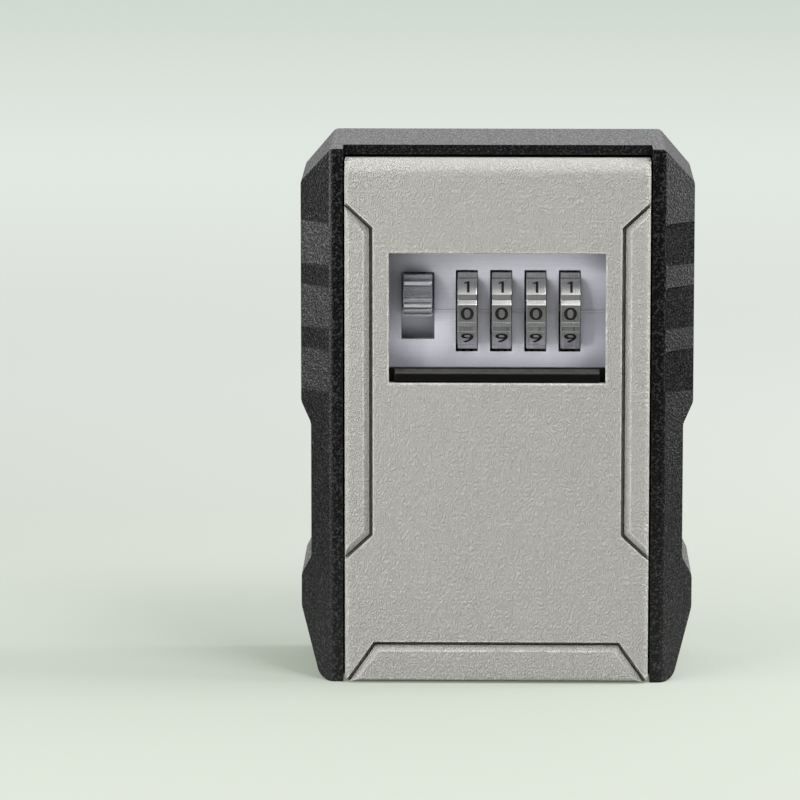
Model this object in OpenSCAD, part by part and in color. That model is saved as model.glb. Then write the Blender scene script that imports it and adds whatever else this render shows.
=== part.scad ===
// Wall key safe with a four-wheel combination lock.
// Millimetres. X is right, -Y is the front, +Y is the wall, +Z is up.
// The origin is under the middle of the safe, on the plane it stands on.

/* [Case] */
// Width across the side bumpers
case_w = 84.6; // [82:0.2:110]
// Height of the case
case_h = 116; // [114:1:160]
// Depth from the wall to the front of the door
case_d = 40; // [38:0.5:70]
// Width of each side moulding, from bumper face to cavity wall
side_w = 9.2; // [8.6:0.1:10]
// Thickness of the back wall
back_t = 2.5; // [1.5:0.1:4]
// Thickness of the top wall
top_t = 2.1; // [1.8:0.1:4]
// Thickness of the bottom wall
bottom_t = 2.5; // [1.5:0.1:4]
// How far the top wall's front edge lies behind the rim
brow_set = 8; // [6:0.5:8.5]
// How far the rim lies behind the front of the door
rim_set = 1.5; // [0.5:0.1:2.5]
// Width of the flat rim beside the door
rim_w = 2.5; // [2:0.1:3.5]
// Depth of the bevel, from the rim back to the bumper face
bevel_d = 7; // [5:0.5:12]
// Wall left round the hollows behind the bumpers
core_wall = 2.4; // [1.6:0.1:2.6]

/* [Bumpers] */
// Depth of the waist between the bumpers
waist_in = 2.2; // [1:0.1:2.6]
// Height of the top of the lower bumper
waist_low = 22.4; // [18:0.2:30]
// Height of the bottom of the upper bumper
waist_high = 60.4; // [50:0.2:62]
// Height of each sloped end of the waist
waist_slope = 4.4; // [2:0.2:8]
// Width of the top corner chamfers
corner_w = 6.7; // [4:0.1:9]
// Height of the top corner chamfers
corner_h = 7.8; // [4:0.1:10]
// Height where the feet start to taper
foot_h = 15.4; // [10:0.2:18]
// Taper of each foot at the bottom
foot_in = 4.2; // [1:0.1:6]
// Rounding under each foot
foot_r = 3; // [1:0.1:4]
// Pockets on each upper bumper
pocket_n = 3; // [1:1:3]
// Height of a pocket
pocket_h = 9.2; // [5:0.1:12]
// Distance from one pocket to the next
pocket_pitch = 13.75; // [12.5:0.05:14]
// Drop from the top of the case to the first pocket
pocket_drop = 16.2; // [12:0.1:17]
// Depth of a pocket at its inner end
pocket_deep = 1.1; // [0.4:0.1:1.6]
// Width of the slope at a pocket's inner end
pocket_slope = 0.5; // [0.2:0.1:0.8]
// Land between a pocket and the ridge
pocket_land = 0.7; // [0.4:0.1:2]

/* [Wall holes] */
// Radius of each wall screw hole
wall_hole_r = 2.4; // [1.5:0.1:3.5]
// Distance across the wall holes
wall_hole_dx = 40; // [24:1:50]
// Height between the wall holes
wall_hole_dz = 76; // [50:1:90]
// Radius of the raised ring round each wall hole
wall_ring_r = 5; // [4:0.1:6]
// Height of that ring
wall_ring_h = 0.8; // [0.4:0.1:1.5]

/* [Door] */
// Thickness of the door's face
door_t = 2.2; // [1.8:0.1:2.6]
// Gap between the door and the case
door_gap = 0.4; // [0.3:0.05:0.8]
// Thickness of the door's edge walls
door_rim_t = 1.4; // [1:0.1:1.8]
// Height of the door's lower edge above the ground plane
door_low = 0.3; // [0.1:0.1:0.8]
// Drop from the top of the case to the door's top
door_drop = 2.2; // [1.2:0.1:2.4]
// Thickness of the flange that reaches from the door in under the top wall
flange_t = 1.2; // [0.8:0.1:1.6]
// Rounding of the door's top front edge
door_top_r = 3.2; // [0.8:0.1:3.3]
// Rounding of the door's side and bottom front edges
door_side_r = 1.1; // [0.4:0.1:1.5]
// Depth of the hinge line behind the front of the door
hinge_set = 4; // [3.8:0.1:4.2]
// Height of the hinge line
hinge_z = 4.4; // [4.3:0.1:5.2]
// Radius of the hinge pins
pin_r = 1.25; // [0.8:0.05:1.5]
// Length of pin held in the case
pin_seat = 2.6; // [1.5:0.1:3]
// Radius of the hinge barrels
barrel_r = 2.6; // [2.2:0.1:2.9]
// Length of each hinge barrel
barrel_w = 11; // [6:0.5:20]

/* [Door grooves] */
// Depth of the grooves
groove_deep = 1.1; // [0.3:0.1:1.2]
// Width of a groove's steep wall
groove_steep = 0.5; // [0.2:0.05:0.8]
// Width of a groove's gentle slope
groove_gentle = 1.4; // [0.6:0.1:2.4]
// Width of the side panels
side_panel_w = 6.05; // [4:0.05:7]
// Height of the side panels at their inner edge
side_panel_h = 66.9; // [50:0.1:80]
// Drop from the top of the case to a side panel's inner corner
side_panel_drop = 16.7; // [12:0.1:24]
// Slope of the side panels' ends, in degrees
side_panel_a = 43; // [30:1:60]
// Height of the bottom panel's upper edge
foot_panel_h = 9.1; // [6:0.1:14]
// Distance from the door's side to the bottom panel's corner
foot_panel_in = 6.2; // [4:0.1:9]
// Slope of the bottom panel's ends, in degrees
foot_panel_a = 55; // [40:1:70]

/* [Window] */
// Width of the door left at each side of the window
window_side = 9.5; // [9:0.1:10.2]
// Height of the window
window_h = 28; // [26:0.2:30]
// Drop from the top of the case to the window
window_drop = 22.3; // [21:0.1:24]

/* [Dial plate] */
// Depth of the plate behind the front of the door
plate_set = 9; // [8.6:0.1:9.6]
// Thickness of the plate
plate_t = 1.2; // [0.8:0.1:1.4]
// Room between the window's edge and the tray's wall
tray_room = 0.4; // [0.2:0.1:0.6]
// Thickness of the tray's side and top walls
tray_wall = 1.8; // [1.2:0.1:2]
// Thickness of the tray's floor
tray_floor = 2.4; // [2:0.1:3]
// Width of the raised index line
index_w = 0.34; // [0.2:0.02:0.6]

/* [Wheels] */
// Radius of a wheel over its corners
wheel_r = 9.9; // [9.6:0.1:10]
// Distance from the release button's middle to the first wheel's middle
wheel_near = 10.65; // [10.3:0.05:10.9]
// Distance from the last wheel's middle to the window's right side
wheel_in = 7.5; // [6.6:0.1:8]
// Share of the wheel pitch that a wheel takes up
wheel_share = 0.57; // [0.5:0.01:0.6]
// Depth of the wheel axle behind the front of the door
wheel_set = 14; // [13.9:0.1:14.6]
// Drop from the top of the window to the wheel axle
wheel_drop = 13.6; // [13:0.1:14.2]
// Width of the finger notch at each corner of a wheel
notch_w = 2.2; // [1:0.1:3]
// Depth of the finger notches below the corners
notch_deep = 0.9; // [0.7:0.05:1.2]
// Gap between a wheel and its slot
slot_gap = 0.25; // [0.2:0.05:0.4]
// Shift of the wheel slots to the left of their wheels
slot_shift = 0.12; // [0:0.02:0.14]
// Radius of the axle
axle_r = 1.5; // [1:0.1:1.7]
// Wall of the hub sleeves
hub_wall = 1.1; // [0.8:0.1:1.4]
// Share of the wheel pitch that a hub's gated disc takes up
hub_share = 0.245; // [0.16:0.005:0.26]
// Depth of the gate in each disc
gate_deep = 0.9; // [0.5:0.1:1]

/* [Release] */
// Distance from the window's left side to the release button's middle
release_in = 6.1; // [5.8:0.1:6.2]
// Width of the button
button_w = 6.2; // [5:0.1:6.6]
// Height of the button
button_h = 9; // [7:0.1:9.4]
// Height of the button's top above the wheel axle
button_up = 8.1; // [7:0.1:9]
// Depth of the button's front behind the front of the door
button_set = 4.5; // [4.4:0.1:6]
// Bulge of the button's front
button_bulge = 2; // [1:0.1:3]
// Number of grooves at the foot of the button's front
foot_grooves = 4; // [2:1:4]
// Number of grooves at the head of the button's front
head_grooves = 2; // [1:1:2]
// Distance from one groove to the next
rib_pitch = 1.2; // [1:0.05:1.4]
// Downward travel of the button
release_travel = 4.8; // [3:0.1:5.2]
// Thickness of the latch plate
latch_t = 1.5; // [1:0.1:2]
// Outer radius of the release spring
spring_r = 2.2; // [1.6:0.1:2.4]
// Wire of the release spring
spring_wire = 0.6; // [0.4:0.1:0.8]
// Length of the release spring at rest
spring_len = 13.4; // [11:0.1:15]

/* [Shutter] */
// Thickness of the shutter
shutter_t = 1.1; // [0.8:0.1:1.2]
// Height of the shutter
shutter_h = 30; // [29:0.5:34]
// Lap of the shutter past each side of the window
shutter_lap = 1.4; // [1:0.1:1.6]
// Height of the shutter's lip at its front
lip_h = 1.7; // [1:0.1:2.5]
// Rise of the lip's sloped top
lip_rise = 1.1; // [0.6:0.1:2]
// Depth of the lip behind the front of the door
lip_set = 0.6; // [0.3:0.1:1.2]
// Gap at each end of the lip
lip_end_gap = 1.2; // [0.5:0.1:2]
// Thickness of the shutter's retainer
retainer_t = 1.2; // [0.8:0.1:1.6]

/* [Lock frame] */
// Thickness of the frame's sheet
frame_t = 1.2; // [1:0.1:1.4]
// Thickness of the detent leaf
leaf_t = 0.5; // [0.3:0.05:0.6]
// Thickness of the back cover's walls
cover_t = 1.3; // [1:0.1:1.6]
// Travel of the code lever
lever_travel = 5; // [3:0.1:6]
// Width of the code lever's knob
knob_w = 3.4; // [2:0.1:4]

/* [Screws] */
// Radius of the larger screws
screw_r = 1; // [0.8:0.05:1.1]
// Radius of the smaller screws
small_screw_r = 0.75; // [0.6:0.05:0.8]

/* [Fits] */
// Radial clearance of what turns
run_fit = 0.05; // [0.02:0.01:0.08]
// Radial clearance of what is held
seat_fit = 0.03; // [0.01:0.01:0.05]
// Gap beside what slides
slide_gap = 0.3; // [0.2:0.05:0.4]
// Gap beside what swings past
swing_gap = 0.4; // [0.3:0.05:0.6]

/* [Hidden] */
$fn = 64;

// Reach of a cutting shape past the surface it cuts
cut = 1;
// Depth that one part of a piece reaches into the next
sink = 0.5;
black = "#25262a";
grey = "#b1b0ab";
lilac = "#9496a2";
steel = "#b8bac0";

// Case
front_y = -case_d / 2;
back_y = case_d / 2;
case_hw = case_w / 2;
cav_hw = case_hw - side_w;
cav_top = case_h - top_t;
cav_back = back_y - back_t;
rim_y = front_y + rim_set;
bevel_y = rim_y + bevel_d;
ridge_x = cav_hw + rim_w;
waist_x = case_hw - waist_in;
foot_a = atan2(foot_h, foot_in);
foot_run = foot_r * tan(foot_a / 2);
foot_x = case_hw - foot_in;

// Hinge
hinge_y = front_y + hinge_set;
hinge_sweep = norm([hinge_set, hinge_z - door_low]);
floor_y = hinge_y + hinge_sweep + swing_gap;

// Door
door_hw = cav_hw - door_gap;
door_top = case_h - door_drop;
door_back = front_y + door_t;
win_hw = door_hw - window_side;
win_top = case_h - window_drop;
win_low = win_top - window_h;
side_panel_x = door_hw - side_panel_w;
side_panel_top = case_h - side_panel_drop;
side_panel_low = side_panel_top - side_panel_h;
foot_panel_x = door_hw - foot_panel_in;

// Shutter
shut_y0 = door_back + slide_gap;
shut_y1 = shut_y0 + shutter_t;
seat_y = shut_y1 + slide_gap;
shut_hw = win_hw + shutter_lap;
lip_hw = win_hw - lip_end_gap;
lip_low = win_low + slide_gap;
shut_top = lip_low + lip_h + lip_rise;
shut_low = shut_top - shutter_h;
guide_x = shut_hw + slide_gap;
guide_t = 1.1;
stop_t = 1.2;
boss_foot = door_back - sink;
screw_end = 0.6;

// Dial plate
plate_y = front_y + plate_set;
plate_back = plate_y + plate_t;
tray_hw = win_hw + tray_room;
tray_out = tray_hw + tray_wall;
tray_low = win_low - tray_room;
tray_top = win_top + tray_room;
plate_low = tray_low - tray_floor;
plate_top = tray_top + tray_wall;
boss_r = 2.2;
ear_x = tray_out + boss_r + swing_gap;
ear_out = ear_x + boss_r;
ear_in = 3;
dial_screw_z = [win_low + ear_in, win_top - ear_in];
cover_screw_z = (win_low + win_top) / 2;
index_high = 0.2;

// Retainer
retainer_top = plate_low - swing_gap;
retainer_low = shut_low - slide_gap - stop_t;
retainer_screw_z = [retainer_low + ear_in, retainer_top - ear_in];

// Wheels
wheel_n = 4;
wheel_faces = 10;
wheel_y = front_y + wheel_set;
wheel_z = win_top - wheel_drop;
release_x = release_in - win_hw;
wheel_first = release_x + wheel_near;
wheel_last = win_hw - wheel_in;
wheel_pitch = (wheel_last - wheel_first) / (wheel_n - 1);
wheel_w = wheel_share * wheel_pitch;
wheel_hw = wheel_w / 2;
hub_t = hub_share * wheel_pitch;
hub_r = wheel_y - plate_back - slide_gap;
sleeve_r = axle_r + hub_wall;
gate_w = latch_t + 2 * slide_gap;
function wheel_x(i) = wheel_first + i * wheel_pitch;

// Lock frame
cheek_gap = 0.6;
cheek_l = wheel_first - wheel_hw - cheek_gap - frame_t;
cheek_r = wheel_last + wheel_hw + hub_t + cheek_gap;
leaf_room = 0.5;
frame_back = wheel_y + wheel_r + leaf_t + leaf_room;
frame_low = wheel_z - wheel_r - cheek_gap - frame_t;
clip_t = 0.7;
clip_r = 2 * axle_r;
axle_tip = 0.2;
axle_over = clip_t + axle_tip;
frame_screw_z = tray_low - tray_floor / 2;
frame_thread = 3.5;
small_head_h = 0.8;
head_h = 1.2;
head_ratio = 1.8;
leaf_low = wheel_z - 0.75 * wheel_r;
leaf_base_h = 3.2;
leaf_screw_z = leaf_low + leaf_base_h / 2;
leaf_tip_w = 3;

// Release
button_top = wheel_z + button_up;
button_low = button_top - button_h;
button_y = front_y + button_set;
button_hw = button_w / 2;
button_r = (pow(button_h / 2, 2) + pow(button_bulge, 2)) / (2 * button_bulge);
rib_groove_z = concat(
    [for (i = [0:foot_grooves - 1]) button_low + (i + 0.6) * rib_pitch],
    [for (i = [0:head_grooves - 1]) button_top - (i + 0.9) * rib_pitch]
);
button_gap = 0.45;
slot_hw = button_hw + button_gap;
slot_top = button_top + slot_gap;
slot_low = button_low - release_travel - 2 * slot_gap;
latch_y0 = wheel_y - latch_t / 2;
latch_y1 = wheel_y + latch_t / 2;
latch_over = 0.4;
latch_l = release_x - slot_hw - latch_over;
latch_r = release_x + slot_hw;
spring_x = (latch_l + latch_r) / 2;
bar_low = wheel_z + wheel_r + swing_gap + release_travel;
bar_h = 3.4;
bar_top = bar_low + bar_h;
cheek_top = bar_low - release_travel - swing_gap;
finger_w = 1.2;
finger_low = wheel_z + hub_r + swing_gap + release_travel;
latch_foot = 1.4;
latch_low = slot_low - latch_foot;
rib_t = 0.8;
rivet_r = 1;
rivet_in = 2.2;
rivet_z = [button_low + rivet_in, button_top - rivet_in];
rivet_deep = 1.6;
rivet_head_h = 0.8;
rivet_head_r = 1.7 * rivet_r;

// Back cover
cover_hw = tray_out;
cover_low = latch_low - spring_len - cover_t;
cover_top = bar_top + 2 * slide_gap + cover_t;
slide_y0 = frame_back + frame_t + slide_gap;
slide_t = 0.8;
cover_in = slide_y0 + slide_t + slide_gap;
cover_back = cover_in + cover_t;
peg_r = spring_r - spring_wire - slide_gap;
peg_h = 3;
cover_ear_h = 8;
cover_open_low = frame_screw_z - head_ratio * small_screw_r - slide_gap;

// Code lever
lever_x = wheel_first + wheel_pitch;
lever_hw = 6;
lever_hh = 4.5;
lever_z = wheel_z;
knob_out = 1.8;
knob_h = 5;

// Keeper
keeper_t = 1.2;
keeper_gap = 0.6;
keeper_y0 = latch_y0 - keeper_gap - keeper_t;
keeper_lip = 3.2;
keeper_low = cav_top - keeper_lip;
keeper_len = 14;
keeper_side = 2;
keeper_hw = slot_hw + keeper_side;
keeper_screw_in = 3;
keeper_screw_y = keeper_y0 + keeper_len - keeper_screw_in;
keeper_screw_dx = 6;
keeper_hole = 0.7 * top_t;
keeper_thread = 0.6 * top_t;
tongue_swing = norm([keeper_y0 - hinge_y, keeper_low - hinge_z]) - swing_gap;
tongue_top = hinge_z + sqrt(pow(tongue_swing, 2) - pow(latch_y1 - hinge_y, 2));

// Door flange, which swings out between the top wall and the keeper
flange_back = keeper_y0 - keeper_gap;
flange_rise = pow(flange_back - hinge_y, 2) / (2 * (cav_top - hinge_z));
flange_top = cav_top - swing_gap - flange_rise;

// Points on an arc about [cx, cy] from angle a0 to angle a1
function arc(cx, cy, r, a0, a1, n = 6) = [
    for (i = [0:n])
        let (a = a0 + (a1 - a0) * i / n)
        [cx + r * cos(a), cy + r * sin(a)]
];

// Shapes placed along an axis
module box(x0, x1, y0, y1, z0, z1) {
    translate([x0, y0, z0])
        cube([x1 - x0, y1 - y0, z1 - z0]);
}

module rod_x(x0, x1, y, z, r) {
    translate([x0, y, z])
        rotate([0, 90, 0])
            cylinder(h = x1 - x0, r = r);
}

module rod_y(y0, y1, x, z, r) {
    translate([x, y0, z])
        rotate([-90, 0, 0])
            cylinder(h = y1 - y0, r = r);
}

module rod_z(z0, z1, x, y, r) {
    translate([x, y, z0])
        cylinder(h = z1 - z0, r = r);
}

// Extrudes an outline drawn in X and Z
module along_y(y0, y1) {
    rotate([90, 0, 0])
        translate([0, 0, -y1])
            linear_extrude(height = y1 - y0)
                children();
}

// Extrudes an outline drawn in Y and Z
module along_x(x0, x1) {
    translate([x0, 0, 0])
        rotate([90, 0, 90])
            linear_extrude(height = x1 - x0)
                children();
}

module both_sides() {
    children();
    mirror([1, 0, 0])
        children();
}

// Screw with its head above the XY plane and its shank below
module screw(r, len, head) {
    slot_w = 0.6 * r;
    difference() {
        union() {
            cylinder(h = head, r = head_ratio * r);
            translate([0, 0, -len])
                cylinder(h = len + head / 4, r = r);
        }
        for (a = [0, 90])
            rotate([0, 0, a])
                translate([-1.2 * r, -slot_w / 2, head / 2])
                    cube([2.4 * r, slot_w, head]);
    }
}

// Screw driven from behind, towards the front
module screw_from_back(x, y, z, r, len, head) {
    translate([x, y, z])
        rotate([-90, 0, 0])
            screw(r, len, head);
}

// Case
half_outline = concat(
    arc(foot_x - foot_run, foot_r, foot_r, -90, foot_a - 90),
    [
        [case_hw, foot_h],
        [case_hw, waist_low],
        [waist_x, waist_low + waist_slope],
        [waist_x, waist_high - waist_slope],
        [case_hw, waist_high],
        [case_hw, case_h - corner_h],
        [case_hw - corner_w, case_h]
    ]
);
case_outline = concat(
    half_outline,
    [for (i = [len(half_outline) - 1:-1:0]) [-half_outline[i][0], half_outline[i][1]]]
);

module side_bevel() {
    translate([0, 0, -cut])
        linear_extrude(height = case_h + 2 * cut)
            polygon([
                [ridge_x, rim_y],
                [case_hw, bevel_y],
                [case_hw + cut, bevel_y],
                [case_hw + cut, rim_y - cut],
                [ridge_x, rim_y - cut]
            ]);
}

// Each pocket starts at nothing on the bumper's edge and is deepest beside the ridge
module bumper_pockets() {
    edge = [case_hw, bevel_y];
    run = [ridge_x, rim_y] - edge;
    along = run / norm(run);
    out = [-along[1], along[0]];
    inner = edge + along * (norm(run) - pocket_land);
    for (i = [0:pocket_n - 1])
        translate([0, 0, case_h - pocket_drop - pocket_h - i * pocket_pitch])
            linear_extrude(height = pocket_h)
                polygon([
                    edge,
                    inner - along * pocket_slope + out * pocket_deep,
                    inner,
                    inner - out * cut,
                    edge - out * cut
                ]);
}

module side_cores() {
    core_x = cav_hw + core_wall;
    core_y = bevel_y + core_wall;
    upper_low = waist_high + core_wall;
    upper_top = case_h - corner_h - core_wall;
    box(core_x, case_hw - core_wall, core_y, back_y + cut, upper_low, upper_top);
    box(core_x, waist_x - core_wall, core_y, back_y + cut, foot_h, waist_high - core_wall);
}

module at_wall_holes() {
    for (sx = [-1, 1], sz = [-1, 1])
        translate([sx * wall_hole_dx / 2, 0, case_h / 2 + sz * wall_hole_dz / 2])
            children();
}

module case_shell() {
    color(black)
    difference() {
        union() {
            difference() {
                along_y(rim_y, back_y)
                    polygon(case_outline);
                box(-cav_hw, cav_hw, rim_y - cut, cav_back, bottom_t, cav_top);
                box(-cav_hw, cav_hw, rim_y - cut, floor_y, -cut, bottom_t + cut);
                box(-cav_hw, cav_hw, rim_y - cut, rim_y + brow_set, cav_top - cut, case_h + cut);
                both_sides() {
                    side_bevel();
                    bumper_pockets();
                    side_cores();
                }
            }
            at_wall_holes()
                rod_y(cav_back - wall_ring_h, cav_back + cut, 0, 0, wall_ring_r);
        }
        at_wall_holes()
            rod_y(cav_back - wall_ring_h - cut, back_y + cut, 0, 0, wall_hole_r);
        both_sides()
            rod_x(cav_hw - cut, cav_hw + pin_seat, hinge_y, hinge_z, pin_r + seat_fit);
        at_keeper_screws()
            rod_z(cav_top - cut, cav_top + keeper_hole, 0, 0, small_screw_r + seat_fit);
    }
}

module hinge_pins() {
    color(steel)
    both_sides()
        rod_x(door_hw - barrel_w, cav_hw + pin_seat - seat_fit, hinge_y, hinge_z, pin_r);
}

module at_keeper_screws() {
    for (s = [-1, 1])
        translate([release_x + s * keeper_screw_dx / 2, keeper_screw_y, 0])
            children();
}

module keeper_plate() {
    color(steel)
    difference() {
        union() {
            box(
                release_x - keeper_hw, release_x + keeper_hw,
                keeper_y0, keeper_y0 + keeper_len,
                cav_top - keeper_t, cav_top
            );
            box(
                release_x - keeper_hw, release_x + keeper_hw,
                keeper_y0, keeper_y0 + keeper_t,
                keeper_low, cav_top
            );
        }
        at_keeper_screws()
            rod_z(cav_top - keeper_t - cut, cav_top + cut, 0, 0, small_screw_r + seat_fit);
    }
}

module keeper_screws() {
    color(steel)
    at_keeper_screws()
        translate([0, 0, cav_top - keeper_t])
            rotate([180, 0, 0])
                screw(small_screw_r, keeper_t + keeper_thread, small_head_h);
}

// Door
module door_block() {
    side_profile = concat(
        [[hinge_y, door_low]],
        arc(front_y + door_side_r, door_low + door_side_r, door_side_r, 270, 180),
        arc(front_y + door_top_r, door_top - door_top_r, door_top_r, 180, 90),
        [[hinge_y, door_top]]
    );
    plan_profile = concat(
        [[door_hw, hinge_y]],
        arc(door_hw - door_side_r, front_y + door_side_r, door_side_r, 0, -90),
        arc(door_side_r - door_hw, front_y + door_side_r, door_side_r, -90, -180),
        [[-door_hw, hinge_y]]
    );
    intersection() {
        along_x(-door_hw - cut, door_hw + cut)
            polygon(side_profile);
        translate([0, 0, door_low - cut])
            linear_extrude(height = door_top - door_low + 2 * cut)
                polygon(plan_profile);
    }
}

// Points beside a path, v to its left, with mitred corners
function left_of(d) = [-d[1], d[0]] / norm(d);
function rail(path, v) = [
    for (i = [0:len(path) - 1])
        let (
            before = max(i, 1),
            after = min(i + 1, len(path) - 1),
            a = left_of(path[before] - path[before - 1]),
            b = left_of(path[after] - path[after - 1])
        )
        path[i] + v * (a + b) / (1 + a * b)
];

// Groove on the left of a path, with its steep wall on the path and its gentle slope beyond
module panel_groove(path) {
    n = len(path);
    reach = cut / groove_deep;
    steep_rail = rail(path, -groove_steep * reach);
    deep_rail = rail(path, groove_steep);
    gentle_rail = rail(path, groove_steep + groove_gentle * (1 + reach));
    polyhedron(
        points = concat(
            [for (p = steep_rail) [p[0], front_y - cut, p[1]]],
            [for (p = deep_rail) [p[0], front_y + groove_deep, p[1]]],
            [for (p = gentle_rail) [p[0], front_y - cut, p[1]]]
        ),
        faces = concat(
            [[0, n, 2 * n], [3 * n - 1, 2 * n - 1, n - 1]],
            [for (k = [0:2], i = [0:n - 2])
                let (u = k * n + i, v = (k + 1) % 3 * n + i)
                [u, u + 1, v + 1, v]]
        )
    );
}

module door_grooves() {
    side_over = side_panel_w + cut;
    side_rise = side_over * tan(side_panel_a);
    foot_drop = foot_panel_h + cut;
    foot_over = foot_drop / tan(foot_panel_a);
    both_sides()
        panel_groove([
            [side_panel_x + side_over, side_panel_top + side_rise],
            [side_panel_x, side_panel_top],
            [side_panel_x, side_panel_low],
            [side_panel_x + side_over, side_panel_low - side_rise]
        ]);
    panel_groove([
        [foot_panel_x + foot_over, foot_panel_h - foot_drop],
        [foot_panel_x, foot_panel_h],
        [-foot_panel_x, foot_panel_h],
        [-foot_panel_x - foot_over, foot_panel_h - foot_drop]
    ]);
}

module at_dial_screws() {
    for (s = [-1, 1], z = dial_screw_z)
        translate([s * ear_x, 0, z])
            children();
}

module at_cover_screws() {
    for (s = [-1, 1])
        translate([s * ear_x, 0, cover_screw_z])
            children();
}

module at_retainer_screws() {
    for (s = [-1, 1], z = retainer_screw_z)
        translate([s * ear_x, 0, z])
            children();
}

module door_panel() {
    hole_y = door_back - screw_end;
    color(grey)
    difference() {
        union() {
            difference() {
                door_block();
                box(
                    door_rim_t - door_hw, door_hw - door_rim_t,
                    door_back, hinge_y + cut,
                    door_low - cut, door_top - door_rim_t
                );
            }
            box(-door_hw, door_hw, door_back - sink, flange_back, flange_top - flange_t, flange_top);
            both_sides() {
                rod_x(door_hw - barrel_w, door_hw, hinge_y, hinge_z, barrel_r);
                box(guide_x, guide_x + guide_t, boss_foot, seat_y, retainer_low, tray_top);
            }
            box(-guide_x - sink, guide_x + sink, boss_foot, seat_y, retainer_low, retainer_low + stop_t);
            at_dial_screws()
                rod_y(boss_foot, plate_y, 0, 0, boss_r);
            at_cover_screws()
                rod_y(boss_foot, plate_y, 0, 0, boss_r);
            at_retainer_screws()
                rod_y(boss_foot, seat_y, 0, 0, boss_r);
        }
        box(-win_hw, win_hw, front_y - cut, door_back + cut, win_low, win_top);
        door_grooves();
        both_sides()
            rod_x(door_hw - barrel_w - cut, door_hw + cut, hinge_y, hinge_z, pin_r + run_fit);
        at_dial_screws()
            rod_y(hole_y, plate_y + cut, 0, 0, screw_r + seat_fit);
        at_cover_screws()
            rod_y(hole_y, plate_y + cut, 0, 0, screw_r + seat_fit);
        at_retainer_screws()
            rod_y(hole_y, seat_y + cut, 0, 0, screw_r + seat_fit);
    }
}

// Dial plate with its tray round the window
module at_frame_screws() {
    for (i = [0.5, 2.5])
        translate([wheel_x(i), 0, frame_screw_z])
            children();
}

module dial_plate() {
    guide_back = latch_y1;
    color(lilac)
    difference() {
        union() {
            box(-ear_out, ear_out, plate_y, plate_back, plate_low, plate_top);
            box(-tray_out, tray_out, seat_y, plate_back, plate_low, plate_top);
            box(
                latch_l - slide_gap - rib_t, latch_l - slide_gap,
                plate_y, guide_back, slot_low, tray_top
            );
            box(
                latch_r + slide_gap, latch_r + slide_gap + rib_t,
                plate_y, guide_back, slot_low, cheek_top
            );
        }
        difference() {
            box(-tray_hw, tray_hw, seat_y - cut, plate_y, tray_low, tray_top);
            box(
                release_x, tray_hw + cut, plate_y - index_high, plate_y + cut,
                wheel_z - index_w / 2, wheel_z + index_w / 2
            );
        }
        for (i = [0:wheel_n - 1])
            rod_x(
                wheel_x(i) - wheel_hw - slot_gap - slot_shift,
                wheel_x(i) + wheel_hw + slot_gap - slot_shift,
                wheel_y, wheel_z, wheel_r + slot_gap
            );
        box(
            release_x - slot_hw, release_x + slot_hw,
            plate_y - cut, plate_back + cut, slot_low, slot_top
        );
        at_dial_screws()
            rod_y(plate_y - cut, plate_back + cut, 0, 0, screw_r + seat_fit);
        at_cover_screws()
            rod_y(plate_y - cut, plate_back + cut, 0, 0, screw_r + seat_fit);
        at_frame_screws()
            rod_y(plate_back - frame_thread - sink, plate_back + cut, 0, 0, small_screw_r + seat_fit);
    }
}

module dial_plate_screws() {
    color(steel)
    at_dial_screws()
        screw_from_back(0, plate_back, 0, screw_r, plate_back - door_back, head_h);
}

// Shutter and the plate that keeps it against the door
module shutter() {
    color(black)
    union() {
        box(-shut_hw, shut_hw, shut_y0, shut_y1, shut_low, shut_top);
        along_x(-lip_hw, lip_hw)
            polygon([
                [shut_y1, lip_low],
                [front_y + lip_set, lip_low],
                [front_y + lip_set, lip_low + lip_h],
                [shut_y1, shut_top]
            ]);
    }
}

module shutter_retainer() {
    color(steel)
    difference() {
        box(-ear_out, ear_out, seat_y, seat_y + retainer_t, retainer_low, retainer_top);
        at_retainer_screws()
            rod_y(seat_y - cut, seat_y + retainer_t + cut, 0, 0, screw_r + seat_fit);
    }
}

module retainer_screws() {
    color(steel)
    at_retainer_screws()
        screw_from_back(
            0, seat_y + retainer_t, 0, screw_r,
            seat_y + retainer_t - door_back, head_h
        );
}

// Frame that carries the wheels
module at_leaf_screws() {
    for (i = [0.5, 2.5])
        translate([wheel_x(i), 0, leaf_screw_z])
            children();
}

module lock_frame() {
    frame_r = cheek_r + frame_t;
    frame_y1 = frame_back + frame_t;
    color(steel)
    difference() {
        union() {
            for (x = [cheek_l, cheek_r])
                box(x, x + frame_t, plate_back, frame_y1, frame_low, cheek_top);
            box(cheek_l, frame_r, plate_back, frame_y1, frame_low, frame_low + frame_t);
            box(cheek_l, frame_r, frame_back, frame_y1, frame_low, cheek_top);
            box(cheek_l, frame_r, plate_back, plate_back + frame_t, plate_low, frame_low + frame_t);
        }
        rod_x(cheek_l - cut, frame_r + cut, wheel_y, wheel_z, axle_r + seat_fit);
        at_frame_screws()
            rod_y(plate_back - cut, plate_back + frame_t + cut, 0, 0, small_screw_r + seat_fit);
        at_leaf_screws()
            rod_y(frame_back - cut, frame_y1 + cut, 0, 0, small_screw_r + seat_fit);
    }
}

module frame_screws() {
    color(steel)
    at_frame_screws()
        screw_from_back(0, plate_back + frame_t, 0, small_screw_r, frame_t + frame_thread, small_head_h);
}

module wheel_axle() {
    color(steel)
    rod_x(cheek_l - axle_over, cheek_r + frame_t + axle_over, wheel_y, wheel_z, axle_r);
}

module axle_clips() {
    color(steel)
    for (x = [cheek_l - clip_t, cheek_r + frame_t])
        difference() {
            rod_x(x, x + clip_t, wheel_y, wheel_z, clip_r);
            rod_x(x - cut, x + clip_t + cut, wheel_y, wheel_z, axle_r + seat_fit);
            box(
                x - cut, x + clip_t + cut,
                wheel_y - axle_r / 2, wheel_y + axle_r / 2,
                wheel_z - clip_r - cut, wheel_z
            );
        }
}

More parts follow.
